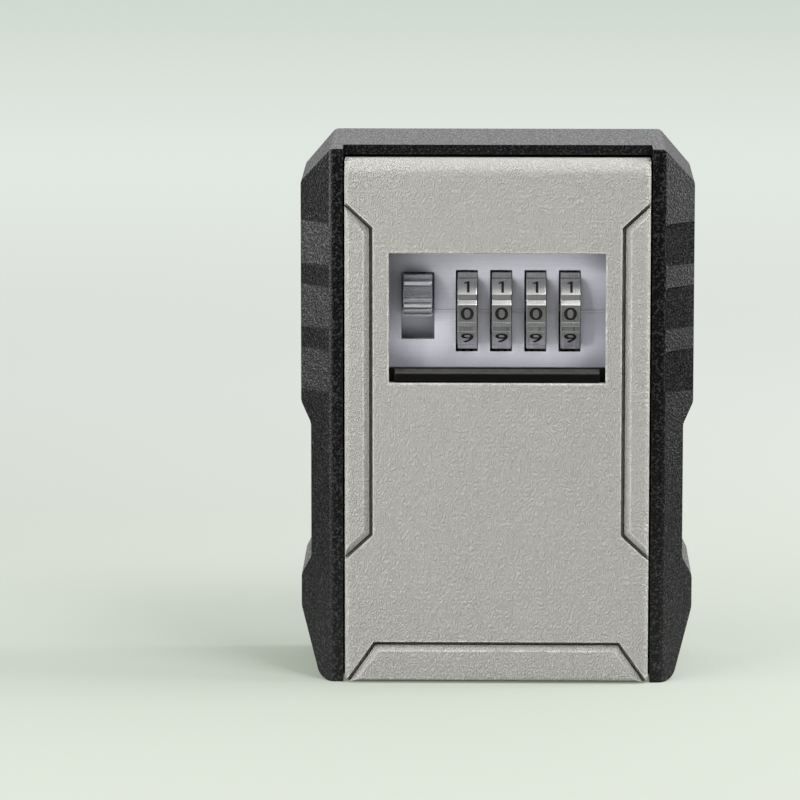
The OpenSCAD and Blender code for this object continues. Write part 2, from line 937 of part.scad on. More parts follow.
module detent_spring() {
    color(steel)
    difference() {
        union() {
            box(
                wheel_first - leaf_tip_w / 2, wheel_last + leaf_tip_w / 2,
                frame_back - leaf_t, frame_back, leaf_low, leaf_low + leaf_base_h
            );
            for (i = [0:wheel_n - 1])
                box(
                    wheel_x(i) - leaf_tip_w / 2, wheel_x(i) + leaf_tip_w / 2,
                    frame_back - leaf_t, frame_back, leaf_low, wheel_z + leaf_tip_w / 2
                );
        }
        at_leaf_screws()
            rod_y(frame_back - leaf_t - cut, frame_back + cut, 0, 0, small_screw_r + seat_fit);
    }
}

module detent_screws() {
    color(steel)
    at_leaf_screws()
        translate([0, frame_back - leaf_t, 0])
            rotate([90, 0, 0])
                screw(small_screw_r, leaf_t + frame_t, small_head_h);
}

// Number wheels and their gated hubs; a notch runs in from two faces to the corner between them
module wheel_notch(i) {
    half = notch_w / 2;
    foot = wheel_r - notch_deep;
    rise = notch_deep - half * tan(180 / wheel_faces);
    along_x(wheel_x(i) - wheel_hw - cut, wheel_x(i) + wheel_hw + cut)
        polygon([[0, foot], [3 * half, foot + 3 * rise], [-3 * half, foot + 3 * rise]]);
}

module dial_wheel(i) {
    color(steel)
    difference() {
        translate([wheel_x(i) - wheel_hw, wheel_y, wheel_z])
            rotate([0, 90, 0])
                cylinder(h = wheel_w, r = wheel_r, $fn = wheel_faces);
        rod_x(
            wheel_x(i) - wheel_hw - cut, wheel_x(i) + wheel_hw + cut,
            wheel_y, wheel_z, sleeve_r + seat_fit
        );
        for (k = [0:wheel_faces - 1])
            translate([0, wheel_y, wheel_z])
                rotate([k * 360 / wheel_faces, 0, 0])
                    wheel_notch(i);
    }
}

module wheel_hub(i) {
    disc_x = wheel_x(i) + wheel_hw + seat_fit;
    color(steel)
    difference() {
        union() {
            rod_x(wheel_x(i) - wheel_hw, disc_x + hub_t / 2, wheel_y, wheel_z, sleeve_r);
            rod_x(disc_x, disc_x + hub_t, wheel_y, wheel_z, hub_r);
        }
        rod_x(
            wheel_x(i) - wheel_hw - cut, disc_x + hub_t + cut,
            wheel_y, wheel_z, axle_r + run_fit
        );
        box(
            disc_x - seat_fit, disc_x + hub_t + cut,
            wheel_y - gate_w / 2, wheel_y + gate_w / 2,
            wheel_z + hub_r - gate_deep, wheel_z + hub_r + cut
        );
    }
}

// Release button, latch plate and rivets move as one
module release_button() {
    mid_z = (button_top + button_low) / 2;
    color(steel)
    difference() {
        intersection() {
            box(
                release_x - button_hw, release_x + button_hw,
                button_y - cut, latch_y0, button_low, button_top
            );
            union() {
                rod_x(
                    release_x - button_hw - cut, release_x + button_hw + cut,
                    button_y + button_r, mid_z, button_r
                );
                box(
                    release_x - button_hw - cut, release_x + button_hw + cut,
                    button_y + button_bulge, latch_y0 + cut,
                    button_low - cut, button_top + cut
                );
            }
        }
        for (groove_z = rib_groove_z) {
            groove_y = button_y + button_r - sqrt(pow(button_r, 2) - pow(groove_z - mid_z, 2));
            translate([release_x, groove_y, groove_z])
                rotate([45, 0, 0])
                    cube([button_w + 2 * cut, rib_pitch / 2, rib_pitch / 2], center = true);
        }
        for (z = rivet_z)
            rod_y(latch_y0 - rivet_deep, latch_y0 + cut, release_x, z, rivet_r + seat_fit);
    }
}

module latch_plate() {
    tongue_in = 1;
    color(steel)
    difference() {
        union() {
            box(latch_l, latch_r, latch_y0, latch_y1, latch_low, bar_top);
            box(latch_l + tongue_in, latch_r - tongue_in, latch_y0, latch_y1, bar_low, tongue_top);
            box(latch_l, wheel_last + wheel_hw + hub_t, latch_y0, latch_y1, bar_low, bar_top);
            for (i = [0:wheel_n - 1]) {
                finger_x = wheel_x(i) + wheel_hw + seat_fit + hub_t / 2;
                box(
                    finger_x - finger_w / 2, finger_x + finger_w / 2,
                    latch_y0, latch_y1, finger_low, bar_top
                );
            }
        }
        for (z = rivet_z)
            rod_y(latch_y0 - cut, latch_y1 + cut, release_x, z, rivet_r + seat_fit);
    }
}

module latch_rivets() {
    color(steel)
    for (z = rivet_z) {
        rod_y(latch_y0 - rivet_deep + seat_fit, latch_y1 + sink, release_x, z, rivet_r);
        rod_y(latch_y1, latch_y1 + rivet_head_h, release_x, z, rivet_head_r);
    }
}

// The spring stands on a peg in the back cover and bears under the latch plate
module release_spring() {
    color(steel)
    difference() {
        rod_z(latch_low - spring_len, latch_low, spring_x, wheel_y, spring_r);
        rod_z(
            latch_low - spring_len - cut, latch_low + cut,
            spring_x, wheel_y, spring_r - spring_wire
        );
    }
}

module back_cover() {
    in_hw = cover_hw - cover_t;
    slot_room = lever_travel + slide_gap;
    color(black)
    difference() {
        union() {
            difference() {
                box(-cover_hw, cover_hw, plate_back, cover_back, cover_low, cover_top);
                box(-in_hw, in_hw, plate_back + cover_t, cover_in, cover_low + cover_t, cover_top - cover_t);
                box(
                    -cover_hw - cut, cover_hw + cut, plate_back - cut, plate_back + cover_t + cut,
                    cover_open_low, plate_top
                );
            }
            both_sides()
                box(
                    in_hw, ear_out, plate_back, plate_back + cover_t,
                    cover_screw_z - cover_ear_h / 2, cover_screw_z + cover_ear_h / 2
                );
            both_sides()
                box(in_hw, cover_hw, plate_back, cover_back, cover_open_low - cut, plate_top + cut);
            rod_z(cover_low, cover_low + cover_t + peg_h, spring_x, wheel_y, peg_r);
            for (z = [lever_z - lever_hh - slide_gap - rib_t, lever_z + lever_hh + slide_gap])
                box(
                    lever_x - lever_hw, lever_x + lever_hw + lever_travel,
                    slide_y0, cover_in + sink, z, z + rib_t
                );
        }
        box(
            latch_l - slide_gap, latch_r + slide_gap,
            latch_y0 - slide_gap, latch_y1 + slide_gap,
            cover_top - cover_t - cut, cover_top + cut
        );
        box(
            lever_x - knob_w / 2 - slide_gap, lever_x + knob_w / 2 + slot_room,
            cover_in - cut, cover_back + cut,
            lever_z - knob_h / 2 - slide_gap, lever_z + knob_h / 2 + slide_gap
        );
        at_cover_screws()
            rod_y(plate_back - cut, plate_back + cover_t + cut, 0, 0, screw_r + seat_fit);
    }
}

module back_cover_screws() {
    color(steel)
    at_cover_screws()
        screw_from_back(
            0, plate_back + cover_t, 0, screw_r,
            plate_back + cover_t - door_back, head_h
        );
}

module code_lever() {
    color(steel)
    union() {
        box(
            lever_x - lever_hw, lever_x + lever_hw,
            slide_y0, slide_y0 + slide_t, lever_z - lever_hh, lever_z + lever_hh
        );
        box(
            lever_x - knob_w / 2, lever_x + knob_w / 2,
            slide_y0, cover_back + knob_out, lever_z - knob_h / 2, lever_z + knob_h / 2
        );
    }
}

case_shell();
hinge_pins();
keeper_plate();
keeper_screws();
door_panel();
dial_plate();
dial_plate_screws();
shutter_retainer();
retainer_screws();
lock_frame();
frame_screws();
wheel_axle();
axle_clips();
detent_spring();
detent_screws();
back_cover();
back_cover_screws();
release_spring();
dial_wheel(0);  // dial_wheel_1
dial_wheel(1);  // dial_wheel_2
dial_wheel(2);  // dial_wheel_3
dial_wheel(3);  // dial_wheel_4
wheel_hub(0);  // wheel_hub_1
wheel_hub(1);  // wheel_hub_2
wheel_hub(2);  // wheel_hub_3
wheel_hub(3);  // wheel_hub_4
release_button();
latch_plate();
latch_rivets();
shutter();
code_lever();
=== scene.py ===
"""Looks of a wall key safe with a four-wheel combination lock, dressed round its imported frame."""

import logging
import math
from collections.abc import Callable, Iterable, Sequence
from dataclasses import dataclass
from enum import Enum

import bpy
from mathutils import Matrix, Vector


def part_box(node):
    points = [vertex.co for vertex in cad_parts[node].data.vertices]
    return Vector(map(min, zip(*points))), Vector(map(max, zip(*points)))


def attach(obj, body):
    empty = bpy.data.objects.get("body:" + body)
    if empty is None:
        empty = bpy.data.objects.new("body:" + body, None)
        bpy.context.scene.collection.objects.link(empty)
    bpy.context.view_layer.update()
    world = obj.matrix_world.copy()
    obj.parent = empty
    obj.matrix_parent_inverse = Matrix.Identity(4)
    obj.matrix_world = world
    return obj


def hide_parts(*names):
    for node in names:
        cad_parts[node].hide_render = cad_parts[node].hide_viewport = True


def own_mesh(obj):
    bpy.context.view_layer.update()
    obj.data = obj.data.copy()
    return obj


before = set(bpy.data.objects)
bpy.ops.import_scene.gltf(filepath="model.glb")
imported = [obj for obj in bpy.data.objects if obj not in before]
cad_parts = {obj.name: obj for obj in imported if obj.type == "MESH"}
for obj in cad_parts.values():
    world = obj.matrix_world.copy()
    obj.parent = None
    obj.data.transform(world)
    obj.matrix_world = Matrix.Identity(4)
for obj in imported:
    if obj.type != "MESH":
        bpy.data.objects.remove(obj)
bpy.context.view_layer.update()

LOG = logging.getLogger("key_safe")
MM = 0.001

# Corners closer than this are merged, and sizes closer than this are the same, in millimetres
WELD = 0.002
SAME = 0.004

# Room round a place that an edge is looked for in, in millimetres
SLACK = 0.01

# Least step in height between two screws of a column, in millimetres
SCREW_STEP = 3.0

# Faces within this angle are one flat face, in degrees, and how much a wide face weighs in shading
FLAT_ANGLE = 0.3
FLAT_WEIGHT = 80

# Corners this close to a cutting plane lie on it, in metres
PLANE_ROOM = 1e-7

Flat = tuple[float, float]
Spot = tuple[float, float, float]
Colour = tuple[float, float, float]
Piece = bpy.types.Object
Socket = bpy.types.NodeSocket


# Bench tools

class Axis(Enum):
    """A direction that a shape is drawn out along, followed by the two that its outline lies in."""

    X = (0, 1, 2)
    Y = (1, 0, 2)
    Z = (2, 0, 1)

    @property
    def turn(self) -> Spot:
        """Rotation that lays a cylinder along the axis."""
        quarter = math.pi / 2
        return {Axis.X: (0, quarter, 0), Axis.Y: (quarter, 0, 0), Axis.Z: (0, 0, 0)}[self]

    def spot(self, along: float, outline: Flat) -> Vector:
        """Places a point of an outline in the shared frame.

        Args:
            along: Distance along the axis, in millimetres.
            outline: The point's two other coordinates, in millimetres.

        Returns:
            The point in metres.
        """
        place = Vector((0.0, 0.0, 0.0))
        place[self.value[0]] = along
        place[self.value[1]] = outline[0]
        place[self.value[2]] = outline[1]
        return place * MM


def node_box(node: str) -> tuple[Vector, Vector]:
    """Gives a CAD node's lowest and highest corners in millimetres."""
    low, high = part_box(node)
    return low / MM, high / MM


def arc(centre: Flat, radius: float, start: float, end: float, steps: int = 8) -> list[Flat]:
    """Gives points along an arc.

    Args:
        centre: Middle of the arc.
        radius: Its radius.
        start: Angle of the first point, in degrees.
        end: Angle of the last point, in degrees.
        steps: Number of straight steps between them.

    Returns:
        The points in order.
    """
    angles = [math.radians(start + (end - start) * i / steps) for i in range(steps + 1)]
    return [(centre[0] + radius * math.cos(a), centre[1] + radius * math.sin(a)) for a in angles]


def middle_of(node: str) -> Vector:
    """Gives the middle of a CAD node's box in millimetres."""
    low, high = node_box(node)
    return (low + high) / 2


def deselect() -> None:
    """Leaves nothing selected."""
    bpy.ops.object.select_all(action="DESELECT")


def fix_place() -> None:
    """Puts the selected shape's place, turn and scale into its mesh."""
    bpy.ops.object.transform_apply(location=True, rotation=True, scale=True)


def face_outwards() -> None:
    """Turns every face of the mesh in edit mode outwards and leaves edit mode."""
    bpy.ops.mesh.select_all(action="SELECT")
    bpy.ops.mesh.normals_make_consistent(inside=False)
    bpy.ops.object.mode_set(mode="OBJECT")


def select_only(*pieces: Piece) -> None:
    """Selects these pieces alone, the first one active."""
    deselect()
    for piece in pieces:
        piece.select_set(True)
    bpy.context.view_layer.objects.active = pieces[0]


def settle(name: str) -> Piece:
    """Names the shape that was just added and puts its place into its mesh."""
    piece = bpy.context.object
    piece.name = name
    piece.data.name = name
    fix_place()
    return piece


def block(name: str, low: Sequence[float], high: Sequence[float]) -> Piece:
    """Adds a box between two corners.

    Args:
        name: Name of the piece.
        low: Its lowest corner, in millimetres.
        high: Its highest corner, in millimetres.

    Returns:
        The box.
    """
    middle = (Vector(low) + Vector(high)) / 2 * MM
    size = (Vector(high) - Vector(low)) * MM
    deselect()
    bpy.ops.mesh.primitive_cube_add(size=1, location=middle, scale=size)
    return settle(name)


def rod(name: str, axis: Axis, span: Flat, centre: Flat, radius: float, sides: int = 48) -> Piece:
    """Adds a cylinder along an axis.

    Args:
        name: Name of the piece.
        axis: Direction of the cylinder.
        span: Where it starts and ends along the axis, in millimetres.
        centre: Its place in the two other directions.
        radius: Its radius, in millimetres.
        sides: Number of its sides.

    Returns:
        The cylinder.
    """
    deselect()
    bpy.ops.mesh.primitive_cylinder_add(
        vertices=sides,
        radius=radius * MM,
        depth=(span[1] - span[0]) * MM,
        location=axis.spot((span[0] + span[1]) / 2, centre),
        rotation=axis.turn,
    )
    return settle(name)


def prism(name: str, axis: Axis, span: Flat, outline: Sequence[Flat]) -> Piece:
    """Draws an outline point by point and extrudes it along an axis.

    Args:
        name: Name of the piece.
        axis: Direction of the extrusion.
        span: Where it starts and ends along the axis, in millimetres.
        outline: Corners in the two other directions, in millimetres.

    Returns:
        The closed prism.
    """
    spots = [axis.spot(span[0], point) for point in outline]
    deselect()
    bpy.ops.mesh.primitive_plane_add(size=MM, location=spots[0])
    bpy.ops.object.mode_set(mode="EDIT")
    bpy.ops.mesh.select_mode(type="VERT")
    bpy.ops.mesh.merge(type="CENTER")
    for here, there in zip(spots, spots[1:]):
        bpy.ops.mesh.extrude_region_move(TRANSFORM_OT_translate={"value": there - here})
    bpy.ops.mesh.select_all(action="SELECT")
    bpy.ops.mesh.edge_face_add()
    depth = axis.spot(span[1] - span[0], (0, 0))
    bpy.ops.mesh.extrude_region_move(TRANSFORM_OT_translate={"value": depth})
    face_outwards()
    return settle(name)


def apply_modifier(piece: Piece, kind: str, **settings: object) -> None:
    """Adds a modifier to a piece and applies it.

    Args:
        piece: The piece to change.
        kind: The modifier's type.
        **settings: Values of the modifier's own properties.
    """
    select_only(piece)
    bpy.ops.object.modifier_add(type=kind)
    modifier = piece.modifiers[-1]
    for key, value in settings.items():
        setattr(modifier, key, value)
    bpy.ops.object.modifier_apply(modifier=modifier.name)


def combine(piece: Piece, tools: Iterable[Piece], operation: str, **settings: object) -> None:
    """Cuts tools from a piece, or adds them to it, and removes them.

    Args:
        piece: The piece to change.
        tools: Closed shapes, used one after another.
        operation: DIFFERENCE or UNION.
        **settings: Further values of the Boolean modifier.
    """
    for tool in tools:
        apply_modifier(
            piece, "BOOLEAN", operation=operation, solver="EXACT", object=tool, **settings
        )
        bpy.data.objects.remove(tool)


def cut(piece: Piece, *tools: Piece) -> None:
    """Cuts closed tools out of a piece."""
    combine(piece, tools, "DIFFERENCE")


def add(piece: Piece, *tools: Piece) -> None:
    """Joins closed tools onto a piece."""
    combine(piece, tools, "UNION")


def join(name: str, pieces: Sequence[Piece]) -> Piece:
    """Joins separate shapes into one mesh."""
    select_only(*pieces)
    bpy.ops.object.join()
    joined = bpy.context.object
    joined.name = name
    joined.data.name = name
    return joined


def mirrored(piece: Piece) -> Piece:
    """Copies a shape to the other side of the middle plane, with its faces outwards."""
    select_only(piece)
    bpy.ops.object.duplicate()
    twin = bpy.context.object
    twin.scale.x = -1
    fix_place()
    bpy.ops.object.mode_set(mode="EDIT")
    face_outwards()
    return twin


def pick_edges(piece: Piece, test: Callable[[Vector, Vector], bool]) -> None:
    """Opens a piece in edit mode with only some of its edges selected.

    Args:
        piece: The piece to open.
        test: Says for an edge's two ends, in millimetres, whether it is wanted.
    """
    select_only(piece)
    bpy.ops.object.mode_set(mode="EDIT")
    bpy.ops.mesh.select_mode(type="EDGE")
    bpy.ops.mesh.select_all(action="DESELECT")
    bpy.ops.object.mode_set(mode="OBJECT")
    corners = [corner.co / MM for corner in piece.data.vertices]
    for edge in piece.data.edges:
        edge.select = test(corners[edge.vertices[0]], corners[edge.vertices[1]])
    bpy.ops.object.mode_set(mode="EDIT")


def bevel_edges(
    piece: Piece,
    width: float,
    steps: int,
    test: Callable[[Vector, Vector], bool],
    clamp: bool = True,
) -> None:
    """Rounds the edges of a piece that pass a test.

    Args:
        piece: The piece to change.
        width: Width of the rounding, in millimetres.
        steps: Number of its segments.
        test: Says for an edge's two ends, in millimetres, whether it is wanted.
        clamp: Whether the width is cut down where short edges lie close by.
    """
    pick_edges(piece, test)
    bpy.ops.mesh.bevel(offset=width * MM, segments=steps, affect="EDGES", clamp_overlap=clamp)
    bpy.ops.object.mode_set(mode="OBJECT")


def soften(piece: Piece, width: float, steps: int = 2, angle: float = 30.0) -> None:
    """Rounds every edge of a piece that is sharper than an angle.

    Args:
        piece: The piece to change.
        width: Width of the rounding, in millimetres.
        steps: Number of its segments.
        angle: Least angle between two faces, in degrees.
    """
    apply_modifier(
        piece,
        "BEVEL",
        width=width * MM,
        segments=steps,
        limit_method="ANGLE",
        angle_limit=math.radians(angle),
        use_clamp_overlap=True,
    )


def clean(piece: Piece) -> None:
    """Merges doubled corners and clears the edges that lie within flat faces."""
    select_only(piece)
    bpy.ops.object.mode_set(mode="EDIT")
    bpy.ops.mesh.select_mode(type="VERT")
    bpy.ops.mesh.select_all(action="SELECT")
    bpy.ops.mesh.remove_doubles(threshold=WELD * MM)
    bpy.ops.mesh.select_all(action="SELECT")
    bpy.ops.mesh.dissolve_limited(angle_limit=math.radians(FLAT_ANGLE))
    bpy.ops.object.mode_set(mode="OBJECT")


def even_shade(piece: Piece, angle: float = 35.0) -> None:
    """Shades a piece smooth up to an angle, with its wide faces kept flat."""
    select_only(piece)
    bpy.ops.object.shade_smooth_by_angle(angle=math.radians(angle))
    apply_modifier(piece, "WEIGHTED_NORMAL", keep_sharp=True, weight=FLAT_WEIGHT)


def refined(name: str, node: str, width: float) -> Piece:
    """Copies a CAD node's mesh and rounds its sharp edges.

    Args:
        name: Name of the new piece.
        node: The CAD node to copy.
        width: Width of the rounding, in millimetres.

    Returns:
        The new piece.
    """
    piece = bpy.data.objects.new(name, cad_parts[node].data.copy())
    piece.data.name = name
    bpy.context.scene.collection.objects.link(piece)
    clean(piece)
    soften(piece, width)
    even_shade(piece)
    return piece


def hand_in(
    piece: Piece, body: str, slot: str, finish: bpy.types.Material, *nodes: str
) -> None:
    """Dresses a finished piece and hands it over to the frame.

    Args:
        piece: The piece.
        body: The CAD body that it rides on.
        slot: Not used; the record's material slot that the finish belongs to.
        finish: Its material.
        *nodes: The CAD nodes that it stands for.
    """
    if len(piece.data.materials) < 2:
        piece.data.materials.clear()
        piece.data.materials.append(finish)
    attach(piece, body)
    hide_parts(*nodes)
    LOG.info("%s: %d faces on %s", piece.name, len(piece.data.polygons), body)


def slice_off(piece: Piece, spot: Spot, outward: Spot) -> None:
    """Cuts off what lies beyond a plane and closes the cut.

    Args:
        piece: The piece to change.
        spot: A point on the plane, in millimetres.
        outward: The plane's direction, towards what is cut off.
    """
    select_only(piece)
    bpy.ops.object.mode_set(mode="EDIT")
    bpy.ops.mesh.select_all(action="SELECT")
    bpy.ops.mesh.bisect(
        plane_co=Vector(spot) * MM,
        plane_no=outward,
        use_fill=True,
        clear_outer=True,
        threshold=PLANE_ROOM,
    )
    bpy.ops.object.mode_set(mode="OBJECT")


def near(a: float, b: float) -> bool:
    """Says whether two sizes are the same, within a few thousandths."""
    return abs(a - b) <= SAME


def screw_spots(node: str, index: int) -> Flat:
    """Gives the place of a screw on the right side of the door, counted from the lowest.

    Args:
        node: The CAD node with a column of screws on each side.
        index: Which screw of the column.

    Returns:
        Its place in X and Z.
    """
    corners = [corner.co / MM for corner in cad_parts[node].data.vertices]
    right = [corner for corner in corners if corner.x > 0]
    levels: list[list[Vector]] = []
    for corner in sorted(right, key=lambda p: p.z):
        if not levels or corner.z - levels[-1][-1].z > SCREW_STEP:
            levels.append([])
        levels[-1].append(corner)
    chosen = levels[index]
    xs = [p.x for p in chosen]
    zs = [p.z for p in chosen]
    return (min(xs) + max(xs)) / 2, (min(zs) + max(zs)) / 2


# Sub-assemblies, with their sizes in millimetres

@dataclass
class CaseShell:
    """The black case with its side bumpers, open at the front."""

    side_w: float = 9.2
    top_wall: float = 2.1
    floor_wall: float = 2.5
    back_wall: float = 2.5
    rim_w: float = 2.5
    bevel_d: float = 7.0
    waist_in: float = 2.2
    waist_low: float = 22.4
    waist_high: float = 60.4
    waist_slope: float = 4.4
    corner_w: float = 6.7
    corner_h: float = 7.8
    foot_h: float = 15.4
    foot_in: float = 4.2
    foot_r: float = 3.0
    pocket_n: int = 3
    pocket_h: float = 9.2
    pocket_pitch: float = 13.75
    pocket_drop: float = 16.2
    pocket_deep: float = 1.1
    pocket_slope: float = 0.5
    pocket_land: float = 0.6
    pocket_roll: float = 0.8
    roll_steps: int = 5
    pocket_corner: float = 1.2
    pocket_steps: int = 6
    brow_set: float = 8.0
    core_wall: float = 2.4
    hole_r: float = 2.4
    hole_span: Flat = (40.0, 76.0)
    ring_r: float = 5.0
    ring_h: float = 0.8
    sill_y: float = -9.87
    corner_r: float = 0.6
    corner_steps: int = 4
    ridge_r: float = 2.0
    ridge_steps: int = 6
    edge_r: float = 0.3
    mouth_r: float = 0.55
    edge_steps: int = 3
    pin_r: float = 1.28
    pin_seat: float = 2.6
    over: float = 1.0

    def __post_init__(self) -> None:
        """Takes the case's box from the frame."""
        self.low, self.high = node_box("case_shell")
        self.mouth_x = self.high.x - self.side_w
        self.mouth_top = self.high.z - self.top_wall
        self.inner_y = self.high.y - self.back_wall
        self.ridge_x = self.mouth_x + self.rim_w
        self.brow_y = self.low.y + self.bevel_d
        self.waist_x = self.high.x - self.waist_in

    def half_outline(self) -> list[Flat]:
        """Gives the right half of the case's outline, from the foot up."""
        lean = math.atan2(self.foot_h, self.foot_in)
        run = self.foot_r * math.tan(lean / 2)
        foot = (self.high.x - self.foot_in - run, self.low.z + self.foot_r)
        return [
            *arc(foot, self.foot_r, -90, math.degrees(lean) - 90),
            (self.high.x, self.foot_h),
            (self.high.x, self.waist_low),
            (self.waist_x, self.waist_low + self.waist_slope),
            (self.waist_x, self.waist_high - self.waist_slope),
            (self.high.x, self.waist_high),
            (self.high.x, self.high.z - self.corner_h),
            (self.high.x - self.corner_w, self.high.z),
        ]

    def moulding(self) -> Piece:
        """Draws out the case's outline and bevels its sides back from the rim."""
        half = self.half_outline()
        outline = half + [(-x, z) for x, z in reversed(half)]
        body = prism("case_body", Axis.Y, (self.low.y, self.high.y), outline)
        bevel_edges(
            body,
            self.corner_r,
            self.corner_steps,
            lambda a, b: near(a.x, b.x) and near(a.z, b.z) and a.z > self.foot_h - self.over,
        )
        lean = math.atan2(self.bevel_d, self.high.x - self.ridge_x)
        run = self.ridge_r * math.tan(lean / 2)
        for side in (-1, 1):
            for i in range(self.ridge_steps, 0, -1):
                turn = lean * i / self.ridge_steps
                outward = Vector((side * math.sin(turn), -math.cos(turn), 0.0))
                middle = Vector((side * (self.ridge_x - run), self.low.y + self.ridge_r, 0.0))
                slice_off(body, tuple(middle + outward * self.ridge_r), tuple(outward))
        bevel_edges(body, self.edge_r, self.edge_steps, self.on_outline, clamp=False)
        return body

    def on_outline(self, a: Vector, b: Vector) -> bool:
        """Says whether an edge is on the case's back outline."""
        return near(a.y, self.high.y) and near(b.y, self.high.y)

    def pocket_section(self) -> tuple[list[Vector], list[Vector]]:
        """Gives the outline of a pocket's cutter in X and Y, seen from above.

        Returns:
            The whole outline, and the part of it along the inner wall with its rolled edge.
        """
        edge = Vector((self.high.x, self.brow_y))
        run = Vector((self.ridge_x, self.low.y)) - edge
        along = run.normalized()
        inward = Vector((-abs(along.y), abs(along.x)))
        inner = edge + along * (run.length - self.pocket_land)
        floor = inner - along * self.pocket_slope + inward * self.pocket_deep
        lean = (floor - edge).normalized()
        wall = (inner - floor).normalized()
        turn = wall.angle(along)
        beside = (along - wall * math.cos(turn)) / math.sin(turn) * self.pocket_roll
        hub = inner - wall * self.pocket_roll * math.tan(turn / 2) + beside
        inner_side = [floor]
        for i in range(self.roll_steps + 1):
            angle = turn * i / self.roll_steps
            onward = wall * self.pocket_roll * math.sin(angle)
            inner_side.append(hub - beside * math.cos(angle) + onward)
        inner_side.append(inner_side[-1] - inward * self.over)
        outer = edge - lean * self.over
        return [outer, *inner_side, outer - inward * self.over], inner_side

    def pocket_tools(self) -> list[Piece]:
        """Makes the cutters of the pockets on both upper bumpers."""
        section, inner_side = self.pocket_section()

        def on_inner_side(a: Vector, b: Vector) -> bool:
            """Says whether an edge runs along the inner wall, at the pocket's top or foot."""
            ends = [any(near((p.xy - q).length, 0.0) for q in inner_side) for p in (a, b)]
            return near(a.z, b.z) and all(ends)

        tools = []
        for i in range(self.pocket_n):
            top = self.high.z - self.pocket_drop - i * self.pocket_pitch
            tool = prism("pocket", Axis.Z, (top - self.pocket_h, top), [tuple(p) for p in section])
            bevel_edges(tool, self.pocket_corner, self.pocket_steps, on_inner_side, clamp=False)
            tools += [tool, mirrored(tool)]
        return tools

    def core_tools(self) -> list[Piece]:
        """Makes the cutters of the hollows behind the bumpers."""
        x0 = self.mouth_x + self.core_wall
        y0 = self.brow_y + self.core_wall
        y1 = self.high.y + self.over
        upper = (self.waist_high + self.core_wall, self.high.z - self.corner_h - self.core_wall)
        lower = (self.foot_h, self.waist_high - self.core_wall)
        tools = []
        for reach, (z0, z1) in ((self.high.x, upper), (self.waist_x, lower)):
            tool = block("core", (x0, y0, z0), (reach - self.core_wall, y1, z1))
            soften(tool, self.edge_r)
            tools += [tool, mirrored(tool)]
        return tools

    def hole_spots(self) -> list[Flat]:
        """Gives the places of the four wall holes in X and Z."""
        middle = (self.low.z + self.high.z) / 2
        half_x, half_z = (span / 2 for span in self.hole_span)
        return [(sx * half_x, middle + sz * half_z) for sx in (-1, 1) for sz in (-1, 1)]

    def build(self, finish: bpy.types.Material) -> None:
        """Models the case and hands it in.

        Args:
            finish: Its powder coat.
        """
        shell = self.moulding()
        cavity = block(
            "cavity",
            (-self.mouth_x, self.low.y - self.over, self.floor_wall),
            (self.mouth_x, self.inner_y, self.mouth_top),
        )
        bevel_edges(
            cavity, self.edge_r, self.edge_steps, lambda a, b: max(a.y, b.y) > self.low.y
        )
        sill = block(
            "sill",
            (-self.mouth_x, self.low.y - self.over, self.low.z - self.over),
            (self.mouth_x, self.sill_y, self.floor_wall + self.over),
        )
        brow = block(
            "brow",
            (-self.mouth_x, self.low.y - self.over, self.mouth_top - self.over),
            (self.mouth_x, self.low.y + self.brow_set, self.high.z + self.over),
        )
        cut(shell, cavity, sill, brow)
        clean(shell)
        bevel_edges(shell, self.mouth_r, self.edge_steps, self.on_mouth)
        cut(shell, *self.pocket_tools(), *self.core_tools())
        ring = (self.inner_y - self.ring_h, self.inner_y + self.over)
        add(shell, *[rod("ring", Axis.Y, ring, spot, self.ring_r) for spot in self.hole_spots()])
        bore = (ring[0] - self.over, self.high.y + self.over)
        cut(shell, *[rod("hole", Axis.Y, bore, spot, self.hole_r) for spot in self.hole_spots()])
        pin = middle_of("hinge_pins")
        seat = (self.mouth_x - self.over, self.mouth_x + self.pin_seat)
        seat_tool = rod("seat", Axis.X, seat, (pin.y, pin.z), self.pin_r)
        cut(shell, mirrored(seat_tool), seat_tool)
        clean(shell)
        even_shade(shell)
        shell.name = "case_moulding"
        hand_in(shell, "case", "case_black", finish, "case_shell")

    def on_mouth(self, a: Vector, b: Vector) -> bool:
        """Says whether an edge is an upright edge of the mouth or on the front of the brow."""
        beside = all(near(p.y, self.low.y) and near(abs(p.x), self.mouth_x) for p in (a, b))
        above = all(near(p.y, self.low.y + self.brow_set) for p in (a, b))
        return beside or (above and not near(a.x, b.x))


